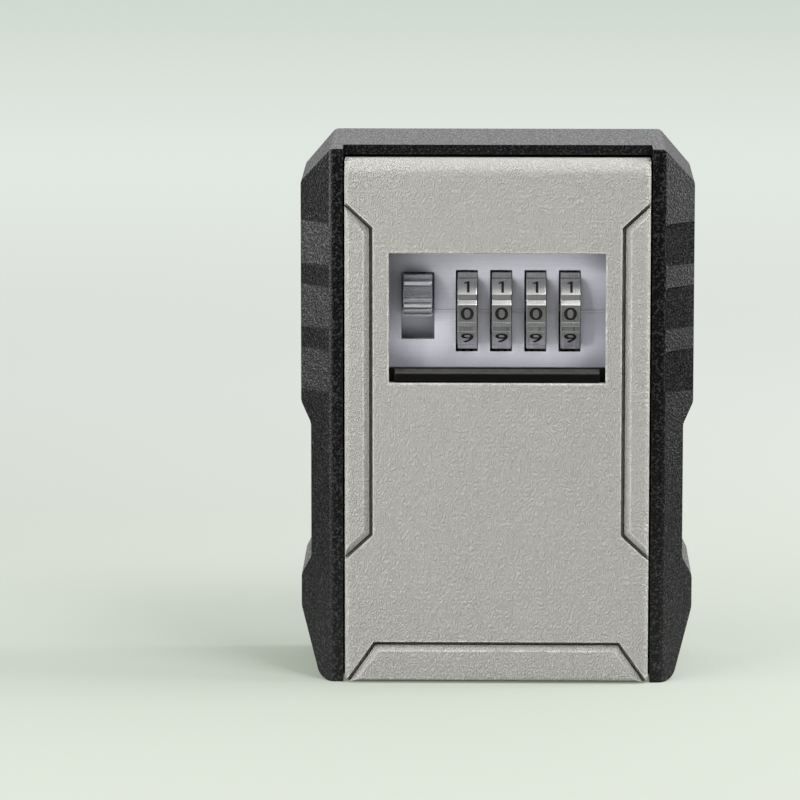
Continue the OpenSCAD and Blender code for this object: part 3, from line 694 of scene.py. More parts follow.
@dataclass
class DoorPanel:
    """The grey door with its grooved front, window, rear ribs and hinge barrels."""

    face_t: float = 2.2
    edge_wall: float = 1.4
    top_r: float = 3.2
    top_steps: int = 8
    side_r: float = 1.1
    side_steps: int = 5
    groove_w: float = 2.0
    groove_deep: float = 0.85
    slot_deep: float = 1.5
    slot_w: float = 0.55
    slot_lean: float = 0.12
    groove_edge_r: float = 0.06
    groove_steps: int = 2
    side_panel_w: float = 6.05
    side_panel_h: float = 66.9
    side_panel_drop: float = 16.7
    side_panel_a: float = 43.0
    foot_panel_h: float = 9.1
    foot_panel_in: float = 6.2
    foot_panel_a: float = 55.0
    window_side: float = 9.5
    window_h: float = 28.0
    window_drop: float = 22.3
    window_edge_r: float = 0.3
    window_steps: int = 3
    barrel_w: float = 11.0
    barrel_r: float = 2.6
    bore_r: float = 1.3
    guide_t: float = 1.1
    guide_gap: float = 0.3
    boss_r: float = 2.2
    screw_r: float = 1.03
    screw_sides: int = 24
    screw_end: float = 0.6
    sink: float = 0.5
    plate_set: float = 9.0
    tray_wall: float = 1.8
    barrel_sides: int = 50
    flange_t: float = 1.2
    flange_gap: float = 0.6
    swing_gap: float = 0.4
    step: float = -0.02
    over: float = 1.0

    def __post_init__(self) -> None:
        """Takes the door's place from the frame."""
        box_low, box_high = node_box("door_panel")
        pin = middle_of("hinge_pins")
        self.half_w = box_high.x
        self.low_z, self.top_z = box_low.z, box_high.z
        self.front = box_low.y
        self.face_back = self.front + self.face_t
        self.hinge = (pin.y, pin.z)
        self.case_top = node_box("case_shell")[1].z
        self.window_x = self.half_w - self.window_side
        self.window_top = self.case_top - self.window_drop
        self.window_low = self.window_top - self.window_h

    def leaf(self) -> Piece:
        """Makes the door's block with its front edges rounded."""
        leaf = block(
            "door_leaf",
            (-self.half_w, self.front, self.low_z),
            (self.half_w, self.hinge[0], self.top_z),
        )
        bevel_edges(
            leaf,
            self.top_r,
            self.top_steps,
            lambda a, b: all(near(p.y, self.front) and near(p.z, self.top_z) for p in (a, b)),
        )
        bevel_edges(leaf, self.side_r, self.side_steps, self.on_side, clamp=False)
        return leaf

    def on_side(self, a: Vector, b: Vector) -> bool:
        """Says whether an edge is on a side or the foot of the door's front."""
        back = self.hinge[0]
        if near(a.y, back) and near(b.y, back):
            return False
        beside = near(abs(a.x), self.half_w) and near(a.x, b.x)
        under = all(near(p.z, self.low_z) and near(p.y, self.front) for p in (a, b))
        return beside or under

    def rail(self, path: Sequence[Vector], offset: float) -> list[Vector]:
        """Gives the line beside a path, with mitred corners.

        Args:
            path: Corners of the path in X and Z.
            offset: Distance to its left.

        Returns:
            The corners of the line.
        """
        lefts = []
        for here, there in zip(path, path[1:]):
            way = (there - here).normalized()
            lefts.append(Vector((-way.y, way.x)))
        pairs = zip([lefts[0], *lefts], [*lefts, lefts[-1]])
        return [p + offset * (a + b) / (1 + a.dot(b)) for p, (a, b) in zip(path, pairs)]

    def groove_tool(self, path: Sequence[Flat]) -> Piece:
        """Sweeps a groove's section, a narrow slot with a slope beside it, along a path.

        Args:
            path: Corners of the groove's steep edge in X and Z, with the groove on its left.

        Returns:
            The closed cutter.
        """
        corners = [Vector(p) for p in path]
        rise = self.over / self.slot_deep * self.slot_lean
        foot = 2 * self.slot_lean + self.slot_w
        run = (self.groove_w - foot) * (1 + self.over / self.groove_deep)
        section = (
            (-rise, -self.over),
            (self.slot_lean, self.slot_deep),
            (self.slot_lean + self.slot_w, self.slot_deep),
            (foot, self.groove_deep),
            (foot + run, -self.over),
        )
        lines = [(self.rail(corners, offset), self.front + deep) for offset, deep in section]
        rings = [
            [Vector((line[i].x, y, line[i].y)) * MM for line, y in lines]
            for i in range(len(path))
        ]
        deselect()
        bpy.ops.mesh.primitive_circle_add(vertices=len(section), radius=MM, fill_type="NGON")
        tool = settle("groove")
        for corner, spot in zip(tool.data.vertices, rings[0]):
            corner.co = spot
        for before, after in zip(rings, rings[1:]):
            bpy.ops.object.mode_set(mode="EDIT")
            bpy.ops.mesh.extrude_region_move(TRANSFORM_OT_translate={"value": (0, 0, 0)})
            bpy.ops.object.mode_set(mode="OBJECT")
            for corner in [v for v in tool.data.vertices if v.select]:
                start = min(range(len(section)), key=lambda k: (corner.co - before[k]).length)
                corner.co = after[start]
        bpy.ops.object.mode_set(mode="EDIT")
        face_outwards()
        return tool

    def cut_grooves(self, leaf: Piece) -> None:
        """Cuts the two side grooves and the foot groove, and rounds their edges."""
        x = self.half_w - self.side_panel_w
        top = self.case_top - self.side_panel_drop
        low = top - self.side_panel_h
        over = self.side_panel_w + self.over
        rise = over * math.tan(math.radians(self.side_panel_a))
        side = [(x + over, top + rise), (x, top), (x, low), (x + over, low - rise)]
        foot_x = self.half_w - self.foot_panel_in
        drop = self.foot_panel_h + self.over
        spread = foot_x + drop / math.tan(math.radians(self.foot_panel_a))
        foot_z = self.foot_panel_h
        foot = [
            (spread, foot_z - drop),
            (foot_x, foot_z),
            (-foot_x, foot_z),
            (-spread, foot_z - drop),
        ]
        right = self.groove_tool(side)
        cut(leaf, mirrored(right), right, self.groove_tool(foot))
        clean(leaf)
        bevel_edges(leaf, self.groove_edge_r, self.groove_steps, self.on_groove, clamp=False)

    def on_groove(self, a: Vector, b: Vector) -> bool:
        """Says whether an edge is the rim of a groove in the door's front."""
        if not (near(a.y, self.front) and near(b.y, self.front)):
            return False
        flat_x = self.half_w - self.side_r
        flat_low = self.low_z + self.side_r
        flat_top = self.top_z - self.top_r
        beside = all(abs(p.x) > flat_x - SLACK for p in (a, b))
        under = all(p.z < flat_low + SLACK for p in (a, b))
        above = all(p.z > flat_top - SLACK for p in (a, b))
        return not (beside or under or above)

    def in_window(self, a: Vector, b: Vector) -> bool:
        """Says whether an edge is on the front rim of the window."""
        return all(
            near(p.y, self.front)
            and abs(p.x) < self.window_x + SLACK
            and self.window_low - SLACK < p.z < self.window_top + SLACK
            for p in (a, b)
        )

    def rear_parts(self) -> tuple[list[Piece], list[Piece]]:
        """Makes what stands on the back of the door.

        Returns:
            The shapes to add and the bores to cut.
        """
        keep_low = node_box("shutter_retainer")[0]
        shutter_low, shutter_high = node_box("shutter")
        foot_y = self.face_back - self.sink
        seat_y = keep_low.y
        added, bores = [], []
        barrel = (self.half_w - self.barrel_w, self.half_w + self.step)
        bore = (barrel[0] - self.over, self.half_w + self.over)
        added.append(rod("barrel", Axis.X, barrel, self.hinge, self.barrel_r, self.barrel_sides))
        bores.append(rod("bore", Axis.X, bore, self.hinge, self.bore_r))
        columns = (("dial_plate_screws", 2), ("back_cover_screws", 1), ("retainer_screws", 2))
        for node, count in columns:
            end = seat_y if node == "retainer_screws" else self.front + self.plate_set
            for spot in [screw_spots(node, i) for i in range(count)]:
                stand = (foot_y, end + self.step)
                hole = (self.face_back - self.screw_end, end + self.over)
                added.append(rod("boss", Axis.Y, stand, spot, self.boss_r, self.barrel_sides))
                bores.append(
                    rod("screw_hole", Axis.Y, hole, spot, self.screw_r, self.screw_sides)
                )
        added += [mirrored(tool) for tool in added]
        bores += [mirrored(tool) for tool in bores]
        inner = shutter_high.x + self.guide_gap
        outer = inner + self.guide_t
        stop = shutter_low.z - self.guide_gap
        top = node_box("dial_plate")[1].z - self.tray_wall
        low = keep_low.z
        half = [(outer, low), (outer, top), (inner, top), (inner, stop)]
        channel = half + [(-x, z) for x, z in reversed(half)]
        added.append(prism("shutter_channel", Axis.Y, (foot_y, seat_y), channel))
        return added, bores

    def flange(self) -> Piece:
        """Makes the flange that reaches from the door's top in under the case's top wall."""
        keeper_low, keeper_high = node_box("keeper_plate")
        back = keeper_low.y - self.flange_gap
        rise = (back - self.hinge[0]) ** 2 / (2 * (keeper_high.z - self.hinge[1]))
        top = keeper_high.z - self.swing_gap - rise
        reach = self.half_w + self.step
        return block(
            "flange",
            (-reach, self.face_back - self.sink, top - self.flange_t),
            (reach, back, top),
        )

    def build(self, finish: bpy.types.Material) -> None:
        """Models the door and hands it in.

        Args:
            finish: Its textured paint.
        """
        leaf = self.leaf()
        self.cut_grooves(leaf)
        inner_x = self.half_w - self.edge_wall
        hollow = block(
            "hollow",
            (-inner_x, self.face_back, self.low_z - self.over),
            (inner_x, self.hinge[0] + self.over, self.top_z - self.edge_wall),
        )
        window = block(
            "window",
            (-self.window_x, self.front - self.over, self.window_low),
            (self.window_x, self.face_back + self.over, self.window_top),
        )
        cut(leaf, hollow, window)
        clean(leaf)
        bevel_edges(leaf, self.window_edge_r, self.window_steps, self.in_window)
        added, bores = self.rear_parts()
        added.append(self.flange())
        add(leaf, *added)
        cut(leaf, *bores)
        clean(leaf)
        even_shade(leaf)
        leaf.name = "door_face"
        hand_in(leaf, "door", "door_grey", finish, "door_panel")


@dataclass
class NumberWheels:
    """The four ten-sided number wheels with engraved digits."""

    count: int = 4
    corner_r: float = 9.9
    faces: int = 10
    notch_w: float = 2.2
    notch_deep: float = 0.9
    notch_reach: float = 3.0
    bore_r: float = 2.63
    edge_r: float = 0.16
    soft_angle: float = 25.0
    shade_angle: float = 30.0
    digit_h: float = 2.75
    digit_wide: float = 1.6
    digit_bold: float = 0.012
    digit_half: float = 0.5
    digit_steps: int = 6
    digit_weld: float = 0.0003
    engrave: float = 0.22
    one: tuple[Flat, ...] = (
        (-0.02, -0.5),
        (0.11, -0.5),
        (0.11, 0.5),
        (0.01, 0.5),
        (-0.16, 0.38),
        (-0.16, 0.26),
        (-0.02, 0.33),
    )
    over: float = 1.0

    def __post_init__(self) -> None:
        """Takes the wheels' places from the frame."""
        self.nodes = [f"dial_wheel_{i + 1}" for i in range(self.count)]
        boxes = [node_box(node) for node in self.nodes]
        self.middles = [(low.x + high.x) / 2 for low, high in boxes]
        self.half_w = (boxes[0][1].x - boxes[0][0].x) / 2
        axle = middle_of("wheel_axle")
        self.axis = (axle.y, axle.z)
        self.step = 360 / self.faces
        self.flat_r = self.corner_r * math.cos(math.radians(self.step / 2))

    def rim(self) -> Piece:
        """Makes the first wheel with its finger notches and bore."""
        x = self.middles[0]
        side = (x - self.half_w, x + self.half_w)
        top, last = 90, 90 + 360 - self.step
        outline = arc(self.axis, self.corner_r, top, last, self.faces - 1)
        wheel = prism("wheel", Axis.X, side, outline)
        notches = [self.notch(k) for k in range(self.faces)]
        cut(wheel, join("notches", notches))
        through = (side[0] - self.over, side[1] + self.over)
        cut(wheel, rod("bore", Axis.X, through, self.axis, self.bore_r))
        clean(wheel)
        soften(wheel, self.edge_r, angle=self.soft_angle)
        return wheel

    def notch(self, k: int) -> Piece:
        """Makes the cutter of one finger notch, at the wheel's corner k."""
        reach = self.half_w + self.over
        half = self.notch_w / 2
        foot = self.corner_r - self.notch_deep
        rise = self.notch_deep - half * math.tan(math.radians(self.step / 2))
        wing = (self.notch_reach * half, foot + self.notch_reach * rise)
        tool = prism("notch", Axis.X, (-reach, reach), [(0, foot), wing, (-wing[0], wing[1])])
        tool.rotation_euler.x = math.radians(k * self.step)
        tool.location = Axis.X.spot(self.middles[0], self.axis)
        fix_place()
        return tool

    def glyph(self, k: int) -> Piece:
        """Makes a digit as a solid of unit height, lying flat at the origin.

        Args:
            k: The digit.

        Returns:
            The closed solid.
        """
        deselect()
        bpy.ops.object.text_add()
        text = bpy.context.object
        text.data.body = str(k)
        text.data.fill_mode = "BOTH"
        text.data.resolution_u = self.digit_steps
        text.data.offset = self.digit_bold
        text.data.extrude = self.digit_half
        bpy.ops.object.convert(target="MESH")
        solid = bpy.context.object
        corners = [corner.co.copy() for corner in solid.data.vertices]
        low = Vector(min(c[i] for c in corners) for i in range(3))
        high = Vector(max(c[i] for c in corners) for i in range(3))
        size = 1 / (high.y - low.y)
        solid.scale = (size, size, 1)
        solid.location = (-(low.x + high.x) / 2 * size, -(low.y + high.y) / 2 * size, 0)
        fix_place()
        bpy.ops.object.mode_set(mode="EDIT")
        bpy.ops.mesh.select_mode(type="VERT")
        bpy.ops.mesh.select_all(action="SELECT")
        bpy.ops.mesh.remove_doubles(threshold=self.digit_weld)
        face_outwards()
        return solid

    def digit(self, k: int, paint: bpy.types.Material) -> Piece:
        """Makes the cutter of one digit, lying in the wheel's face k.

        Args:
            k: The digit, counted upwards from the face on the index line.
            paint: The material that fills the engraving.

        Returns:
            The closed cutter.
        """
        if k == 1:
            outline = [(x / MM, y / MM) for x, y in self.one]
            half = self.digit_half / MM
            tool = prism("one", Axis.Z, (-half, half), outline)
        else:
            tool = self.glyph(k)
        turn = math.radians(k * self.step)
        face = (
            self.axis[0] - self.flat_r * math.cos(turn),
            self.axis[1] + self.flat_r * math.sin(turn),
        )
        wide = self.digit_h * self.digit_wide
        select_only(tool)
        tool.scale = Vector((wide, self.digit_h, 2 * self.engrave)) * MM
        tool.rotation_euler.x = math.pi / 2 - turn
        tool.location = Axis.X.spot(self.middles[0], face)
        fix_place()
        tool.data.materials.append(paint)
        return tool

    def build(self, finish: bpy.types.Material, paint: bpy.types.Material) -> None:
        """Models one wheel, copies it and hands all four in.

        Args:
            finish: The wheels' brushed metal.
            paint: The dark fill of the digits.
        """
        wheel = self.rim()
        wheel.data.materials.append(finish)
        digits = [self.digit(k, paint) for k in range(self.faces)]
        tool = join("digits", digits)
        combine(wheel, [tool], "DIFFERENCE", material_mode="TRANSFER", use_self=True)
        even_shade(wheel, self.shade_angle)
        wheels = [wheel]
        for x in self.middles[1:]:
            select_only(wheel)
            bpy.ops.object.duplicate()
            twin = bpy.context.object
            twin.location.x = (x - self.middles[0]) * MM
            fix_place()
            wheels.append(twin)
        for i, (piece, node) in enumerate(zip(wheels, self.nodes)):
            piece.name = f"number_wheel_{i + 1}"
            piece.data.name = piece.name
            hand_in(piece, f"wheel_{i + 1}", "wheel_nickel", finish, node)


@dataclass
class DialPlate:
    """The silver plate behind the window, with its tray, slots and index line."""

    plate_t: float = 1.2
    tray_room: float = 0.4
    slot_gap: float = 0.25
    slot_shift: float = 0.12
    button_gap: float = 0.45
    travel: float = 4.8
    index_w: float = 0.34
    index_high: float = 0.2
    rib_t: float = 0.8
    slide_gap: float = 0.3
    edge_r: float = 0.14
    soft_angle: float = 40.0
    screw_r: float = 1.03
    screw_sides: int = 24
    wheel_slot_sides: int = 96
    over: float = 1.0

    def build(self, door: DoorPanel, wheels: NumberWheels, finish: bpy.types.Material) -> None:
        """Models the plate and hands it in.

        Args:
            door: The door that carries it.
            wheels: The number wheels that its slots go round.
            finish: Its silver paint.
        """
        low, high = node_box("dial_plate")
        front = door.front + door.plate_set
        back = front + self.plate_t
        tray_x = door.window_x + self.tray_room
        tray_low = door.window_low - self.tray_room
        tray_top = door.window_top + self.tray_room
        button_low, button_high = node_box("release_button")
        latch_low, latch_high = node_box("latch_plate")
        middle_z = wheels.axis[1]
        plate = block("dial_plate_body", (low.x, front, low.z), (high.x, back, high.z))
        tray = block(
            "tray",
            (-tray_x - door.tray_wall, low.y, low.z),
            (tray_x + door.tray_wall, back, high.z),
        )
        slot_x = (button_low.x - self.button_gap, button_high.x + self.button_gap)
        slot_z = (
            button_low.z - self.travel - 2 * self.slot_gap,
            button_high.z + self.slot_gap,
        )
        left_rib = latch_low.x - self.slide_gap - self.rib_t
        right_rib = slot_x[1] + self.slide_gap
        frame_top = node_box("lock_frame")[1].z
        ribs = [
            block("rib", (x, front, slot_z[0]), (x + self.rib_t, latch_high.y, top))
            for x, top in ((left_rib, tray_top), (right_rib, frame_top))
        ]
        add(plate, tray, *ribs)
        well = block("well", (-tray_x, low.y - self.over, tray_low), (tray_x, front, tray_top))
        cut(plate, well)
        index = block(
            "index",
            (slot_x[1] - self.over, front - self.index_high, middle_z - self.index_w / 2),
            (tray_x + self.over, front + self.over / 2, middle_z + self.index_w / 2),
        )
        add(plate, index)
        reach = wheels.half_w + self.slot_gap
        slots = [
            rod(
                "wheel_slot",
                Axis.X,
                (x - self.slot_shift - reach, x - self.slot_shift + reach),
                wheels.axis,
                wheels.corner_r + self.slot_gap,
                self.wheel_slot_sides,
            )
            for x in wheels.middles
        ]
        release = block(
            "release_slot",
            (slot_x[0], front - self.over, slot_z[0]),
            (slot_x[1], back + self.over, slot_z[1]),
        )
        cut(plate, *slots, release)
        bores = []
        for node, count in (("dial_plate_screws", 2), ("back_cover_screws", 1)):
            for i in range(count):
                hole = (front - self.over, back + self.over)
                spot = screw_spots(node, i)
                bores.append(rod("bore", Axis.Y, hole, spot, self.screw_r, self.screw_sides))
        bores += [mirrored(bore) for bore in bores]
        cut(plate, *bores)
        clean(plate)
        soften(plate, self.edge_r, angle=self.soft_angle)
        even_shade(plate)
        plate.name = "dial_face"
        hand_in(plate, "door", "plate_silver", finish, "dial_plate")


@dataclass
class ReleaseButton:
    """The ribbed thumb button that draws the latch."""

    bulge: float = 2.0
    foot_grooves: int = 4
    head_grooves: int = 2
    pitch: float = 1.2
    foot_in: float = 0.6
    head_in: float = 0.9
    curve_steps: int = 24
    edge_r: float = 0.12
    soft_angle: float = 35.0
    side_r: float = 0.3
    side_steps: int = 3
    rivet_r: float = 1.03
    rivet_sides: int = 24
    rivet_in: float = 2.2
    rivet_deep: float = 1.6
    over: float = 1.0

    def build(self, finish: bpy.types.Material) -> None:
        """Models the button and hands it in.

        Args:
            finish: Its bright plating.
        """
        low, high = node_box("release_button")
        half = (high.z - low.z) / 2
        radius = (half**2 + self.bulge**2) / (2 * self.bulge)
        middle = (low.z + high.z) / 2
        centre = (low.y + radius, middle)
        swing = math.degrees(math.asin(half / radius))
        outline = [
            *arc(centre, radius, 180 + swing, 180 - swing, self.curve_steps),
            (high.y, high.z),
            (high.y, low.z),
        ]
        button = prism("button", Axis.X, (low.x, high.x), outline)
        bevel_edges(
            button,
            self.side_r,
            self.side_steps,
            lambda a, b: near(a.x, b.x) and max(a.y, b.y) < high.y - self.over,
        )
        heights = [low.z + (i + self.foot_in) * self.pitch for i in range(self.foot_grooves)]
        heights += [high.z - (i + self.head_in) * self.pitch for i in range(self.head_grooves)]
        tools = [self.groove(z, centre, radius, (low.x, high.x)) for z in heights]
        for z in (low.z + self.rivet_in, high.z - self.rivet_in):
            middle_x = (low.x + high.x) / 2
            deep = (high.y - self.rivet_deep, high.y + self.over)
            spot = (middle_x, z)
            tools.append(rod("rivet_hole", Axis.Y, deep, spot, self.rivet_r, self.rivet_sides))
        cut(button, *tools)
        clean(button)
        soften(button, self.edge_r, angle=self.soft_angle)
        even_shade(button)
        button.name = "thumb_button"
        hand_in(button, "release", "button_chrome", finish, "release_button")

    def groove(self, z: float, centre: Flat, radius: float, side: Flat) -> Piece:
        """Makes the cutter of one groove across the button's front.

        Args:
            z: Height of the groove.
            centre: Middle of the front's curve in Y and Z.
            radius: Radius of that curve.
            side: The button's two sides in X.

        Returns:
            The closed cutter.
        """
        y = centre[0] - math.sqrt(radius**2 - (z - centre[1]) ** 2)
        half = self.pitch / 4
        tool = block(
            "groove",
            (side[0] - self.over, -half, -half),
            (side[1] + self.over, half, half),
        )
        tool.rotation_euler.x = math.pi / 4
        tool.location = Vector((0, y, z)) * MM
        fix_place()
        return tool


@dataclass
class Shutter:
    """The black shutter that slides up over the window, with its finger lip."""

    leaf_t: float = 1.1
    lip_in: float = 2.6
    lip_h: float = 1.7
    lip_gap: float = 0.3
    edge_r: float = 0.22
    edge_steps: int = 3
    soft_angle: float = 15.0

    def build(self, door: DoorPanel, finish: bpy.types.Material) -> None:
        """Models the shutter and hands it in.

        Args:
            door: The door that carries it.
            finish: Its black plastic.
        """
        low, high = node_box("shutter")
        leaf = block("shutter_leaf", (low.x, high.y - self.leaf_t, low.z), tuple(high))
        lip_x = high.x - self.lip_in
        lip_low = door.window_low + self.lip_gap
        outline = [
            (high.y, lip_low),
            (low.y, lip_low),
            (low.y, lip_low + self.lip_h),
            (high.y, high.z),
        ]
        lip = prism("lip", Axis.X, (-lip_x, lip_x), outline)
        add(leaf, lip)
        clean(leaf)
        soften(leaf, self.edge_r, self.edge_steps, self.soft_angle)
        even_shade(leaf)
        leaf.name = "shutter_leaf"
        hand_in(leaf, "shutter", "shutter_black", finish, "shutter")


@dataclass
class ReleaseSpring:
    """The coil spring that pushes the latch up."""

    wire_r: float = 0.32
    turns: int = 9
    wire_sides: int = 12
    turn_steps: int = 28
    shade_angle: float = 60.0
    travel: float = 4.8

    def build(self, finish: bpy.types.Material) -> None:
        """Winds the spring and hands it in.

        Args:
            finish: Its bright wire.
        """
        low, high = node_box("release_spring")
        coil_r = (high.x - low.x) / 2 - self.wire_r
        height = high.z - low.z
        rise = (height - 2 * self.wire_r) / self.turns
        deselect()
        bpy.ops.mesh.primitive_circle_add(
            vertices=self.wire_sides,
            radius=self.wire_r * MM,
            location=(coil_r * MM, 0, 0),
            rotation=(math.pi / 2, 0, 0),
        )
        coil = settle("spring_wire")
        apply_modifier(
            coil,
            "SCREW",
            axis="Z",
            angle=2 * math.pi,
            screw_offset=rise * MM,
            iterations=self.turns,
            steps=self.turn_steps,
            render_steps=self.turn_steps,
            use_merge_vertices=False,
        )
        bpy.ops.object.mode_set(mode="EDIT")
        bpy.ops.mesh.select_all(action="SELECT")
        bpy.ops.mesh.fill_holes(sides=self.wire_sides)
        face_outwards()
        foot = Vector(((low.x + high.x) / 2, (low.y + high.y) / 2, low.z))
        coil.location = (foot + Vector((0, 0, self.wire_r))) * MM
        fix_place()
        even_shade(coil, self.shade_angle)
        hand_in(coil, "door", "spring_steel", finish, "release_spring")
        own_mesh(coil)


@dataclass(frozen=True)
class SmallPart:
    """A small or inner piece that keeps its CAD shape and gets its edges rounded."""

    name: str
    node: str
    body: str
    slot: str
    edge_r: float
    finish: str = ""

    def build(self, finish: bpy.types.Material) -> None:
        """Rounds a copy of the node's mesh and hands it in.

        Args:
            finish: The piece's material.
        """
        piece = refined(self.name, self.node, self.edge_r)
        hand_in(piece, self.body, self.slot, finish, self.node)


SMALL_PARTS = (
    SmallPart("hinge_pin_pair", "hinge_pins", "case", "steel", 0.15, "dark_steel"),
    SmallPart("keeper_bracket", "keeper_plate", "case", "steel", 0.12, "dark_steel"),
    SmallPart("keeper_screw_pair", "keeper_screws", "case", "screw_steel", 0.1, "dark_steel"),
    SmallPart("plate_screw_set", "dial_plate_screws", "door", "screw_steel", 0.1),
    SmallPart("shutter_keeper", "shutter_retainer", "door", "steel", 0.12),
    SmallPart("shutter_keeper_screws", "retainer_screws", "door", "screw_steel", 0.1),
    SmallPart("lock_chassis", "lock_frame", "door", "steel", 0.12),
    SmallPart("chassis_screws", "frame_screws", "door", "screw_steel", 0.1),
    SmallPart("wheel_spindle", "wheel_axle", "door", "steel", 0.12),
    SmallPart("spindle_clips", "axle_clips", "door", "spring_steel", 0.08),
    SmallPart("detent_leaf", "detent_spring", "door", "spring_steel", 0.06),
    SmallPart("detent_leaf_screws", "detent_screws", "door", "screw_steel", 0.08),
    SmallPart("rear_cover", "back_cover", "door", "cover_black", 0.35),
    SmallPart("rear_cover_screws", "back_cover_screws", "door", "screw_steel", 0.1),
    *(
        SmallPart(f"gate_disc_{i}", f"wheel_hub_{i}", f"wheel_{i}", "hub_brass", 0.08)
        for i in range(1, NumberWheels.count + 1)
    ),
    SmallPart("latch_slide", "latch_plate", "release", "steel", 0.1, "latch_grey"),
    SmallPart("latch_rivet_pair", "latch_rivets", "release", "screw_steel", 0.08),
    SmallPart("code_set_lever", "code_lever", "code_lever", "button_chrome", 0.2),
)


# Finishes

RISE = (0.0, 1.0)
FALL = (1.0, 0.0)


class LineRun(Enum):
    """Which way the fine lines of a metal run, as how fast they change along X, Y and Z."""

    UPRIGHT = (4000.0, 60.0, 60.0)
    ACROSS = (60.0, 60.0, 4000.0)


class Board:
    """A node tree that a shader or a shared effect is laid out on."""

    def __init__(self, tree: bpy.types.NodeTree) -> None:
        """Takes the tree to work on."""
        self.tree = tree

    def link(self, source: Socket, target: Socket) -> None:
        """Links an output to an input."""
        self.tree.links.new(source, target)

    def put(
        self, kind: str, inputs: dict[str | int, object] | None = None, **settings: object
    ) -> bpy.types.Node:
        """Adds a node, sets its options and feeds its inputs.

        Args:
            kind: The node's type, without the common first word.
            inputs: Values or sockets by the name or number of the input.
            **settings: Values of the node's own options.

        Returns:
            The node.
        """
        node = self.tree.nodes.new(f"ShaderNode{kind}")
        for key, value in settings.items():
            setattr(node, key, value)
        for key, value in (inputs or {}).items():
            if isinstance(value, Socket):
                self.link(value, node.inputs[key])
            else:
                node.inputs[key].default_value = value
        return node

    def sum(self, operation: str, *values: float | Socket) -> Socket:
        """Adds a Math node and gives its result."""
        node = self.put("Math", dict(enumerate(values)), operation=operation)
        return node.outputs[0]

    def noise(self, place: Socket, scale: float | Socket, **inputs: float) -> Socket:
        """Adds a noise pattern and gives its value.

        Args:
            place: Where the pattern is read.
            scale: How fine it is.
            **inputs: Values of its other inputs, by their names in small letters.

        Returns:
            The pattern's value.
        """
        named = {key.title(): value for key, value in inputs.items()}
        return self.put("TexNoise", {"Vector": place, "Scale": scale, **named}).outputs[0]

    def spread(
        self, value: Socket, old: tuple[float, float | Socket], new: Flat = RISE
    ) -> Socket:
        """Maps a value smoothly from one range to another.

        Args:
            value: The value to map.
            old: Its range.
            new: The range it is mapped to.

        Returns:
            The mapped value.
        """
        ends = {"Value": value, 1: old[0], 2: old[1], 3: new[0], 4: new[1]}
        return self.put("MapRange", ends, interpolation_type="SMOOTHSTEP").outputs[0]

    def tint(
        self, share: float | Socket, first: Colour | Socket, second: Colour | Socket
    ) -> Socket:
        """Blends two colours.

        Args:
            share: How much of the second colour shows, from 0 to 1.
            first: A colour or its socket.
            second: A colour or its socket.

        Returns:
            The blended colour.
        """
        node = self.put("Mix", {0: share}, data_type="RGBA")
        for key, value in ((6, first), (7, second)):
            if isinstance(value, Socket):
                self.link(value, node.inputs[key])
            else:
                node.inputs[key].default_value = (*value, 1.0)
        return node.outputs[2]


class Effect(Enum):
    """The surface effects that several finishes share."""

    GRAIN = "powder_grain"
    PEEL = "leather_peel"
    STREAKS = "brushed_streaks"
    # painted highlight along edges, broken into patches like rubbed wear
    WEAR = "edge_wear"
    DUST = "settled_dust"
    # painted shade beside walls and in corners
    GRIME = "corner_grime"

    def tree(self) -> bpy.types.NodeTree:
        """Gives the effect's node group, built the first time it is asked for."""
        made = bpy.data.node_groups.get(self.value)
        if made:
            return made
        maker = {
            Effect.GRAIN: make_grain,
            Effect.PEEL: make_peel,
            Effect.STREAKS: make_streaks,
            Effect.WEAR: make_wear,
            Effect.DUST: make_dust,
            Effect.GRIME: make_grime,
        }[self]
        return maker(self.value)

    def place(self, board: Board, **values: float | Spot) -> bpy.types.Node:
        """Places the effect on a board with its own values.

        Args:
            board: The material's board.
            **values: Values of the effect's inputs, by their names in small letters.

        Returns:
            The effect's node.
        """
        node = board.put("Group")
        node.node_tree = self.tree()
        for key, value in values.items():
            node.inputs[key.title()].default_value = value
        return node


def start_group(
    name: str, inputs: dict[str, float | Spot], outputs: Sequence[str]
) -> tuple[Board, bpy.types.Node, bpy.types.Node]:
    """Starts a shader node group with named sockets.

    Args:
        name: Name of the group.
        inputs: Its inputs and what they hold when nothing is set.
        outputs: Names of its outputs, all plain values.

    Returns:
        Its board, its input node and its output node.
    """
    tree = bpy.data.node_groups.new(name, "ShaderNodeTree")
    for key, value in inputs.items():
        kind = "NodeSocketVector" if isinstance(value, tuple) else "NodeSocketFloat"
        socket = tree.interface.new_socket(name=key, in_out="INPUT", socket_type=kind)
        socket.default_value = value
    for key in outputs:
        tree.interface.new_socket(name=key, in_out="OUTPUT", socket_type="NodeSocketFloat")
    entry = tree.nodes.new("NodeGroupInput")
    result = tree.nodes.new("NodeGroupOutput")
    return Board(tree), entry, result


def make_grain(name: str) -> bpy.types.NodeTree:
    """Makes the fine pebbled grain of a powder coat or a moulded skin."""
    hill_share, speck_span = 0.6, (0.48, 0.7)
    board, entry, result = start_group(name, {"Scale": 2500.0}, ["Height", "Speck"])
    place = board.put("TexCoord").outputs["Object"]
    size = entry.outputs["Scale"]
    pebbles = board.put(
        "TexVoronoi",
        {"Vector": place, "Scale": size, "Smoothness": 0.6, "Randomness": 1.0},
        feature="SMOOTH_F1",
    )
    fine = board.noise(place, size, detail=1.5, roughness=0.5)
    hill = board.sum("SUBTRACT", 1.0, pebbles.outputs["Distance"])
    height = board.sum("ADD", board.sum("MULTIPLY", hill, hill_share), fine)
    board.link(height, result.inputs["Height"])
    board.link(board.spread(fine, speck_span), result.inputs["Speck"])
    return board.tree


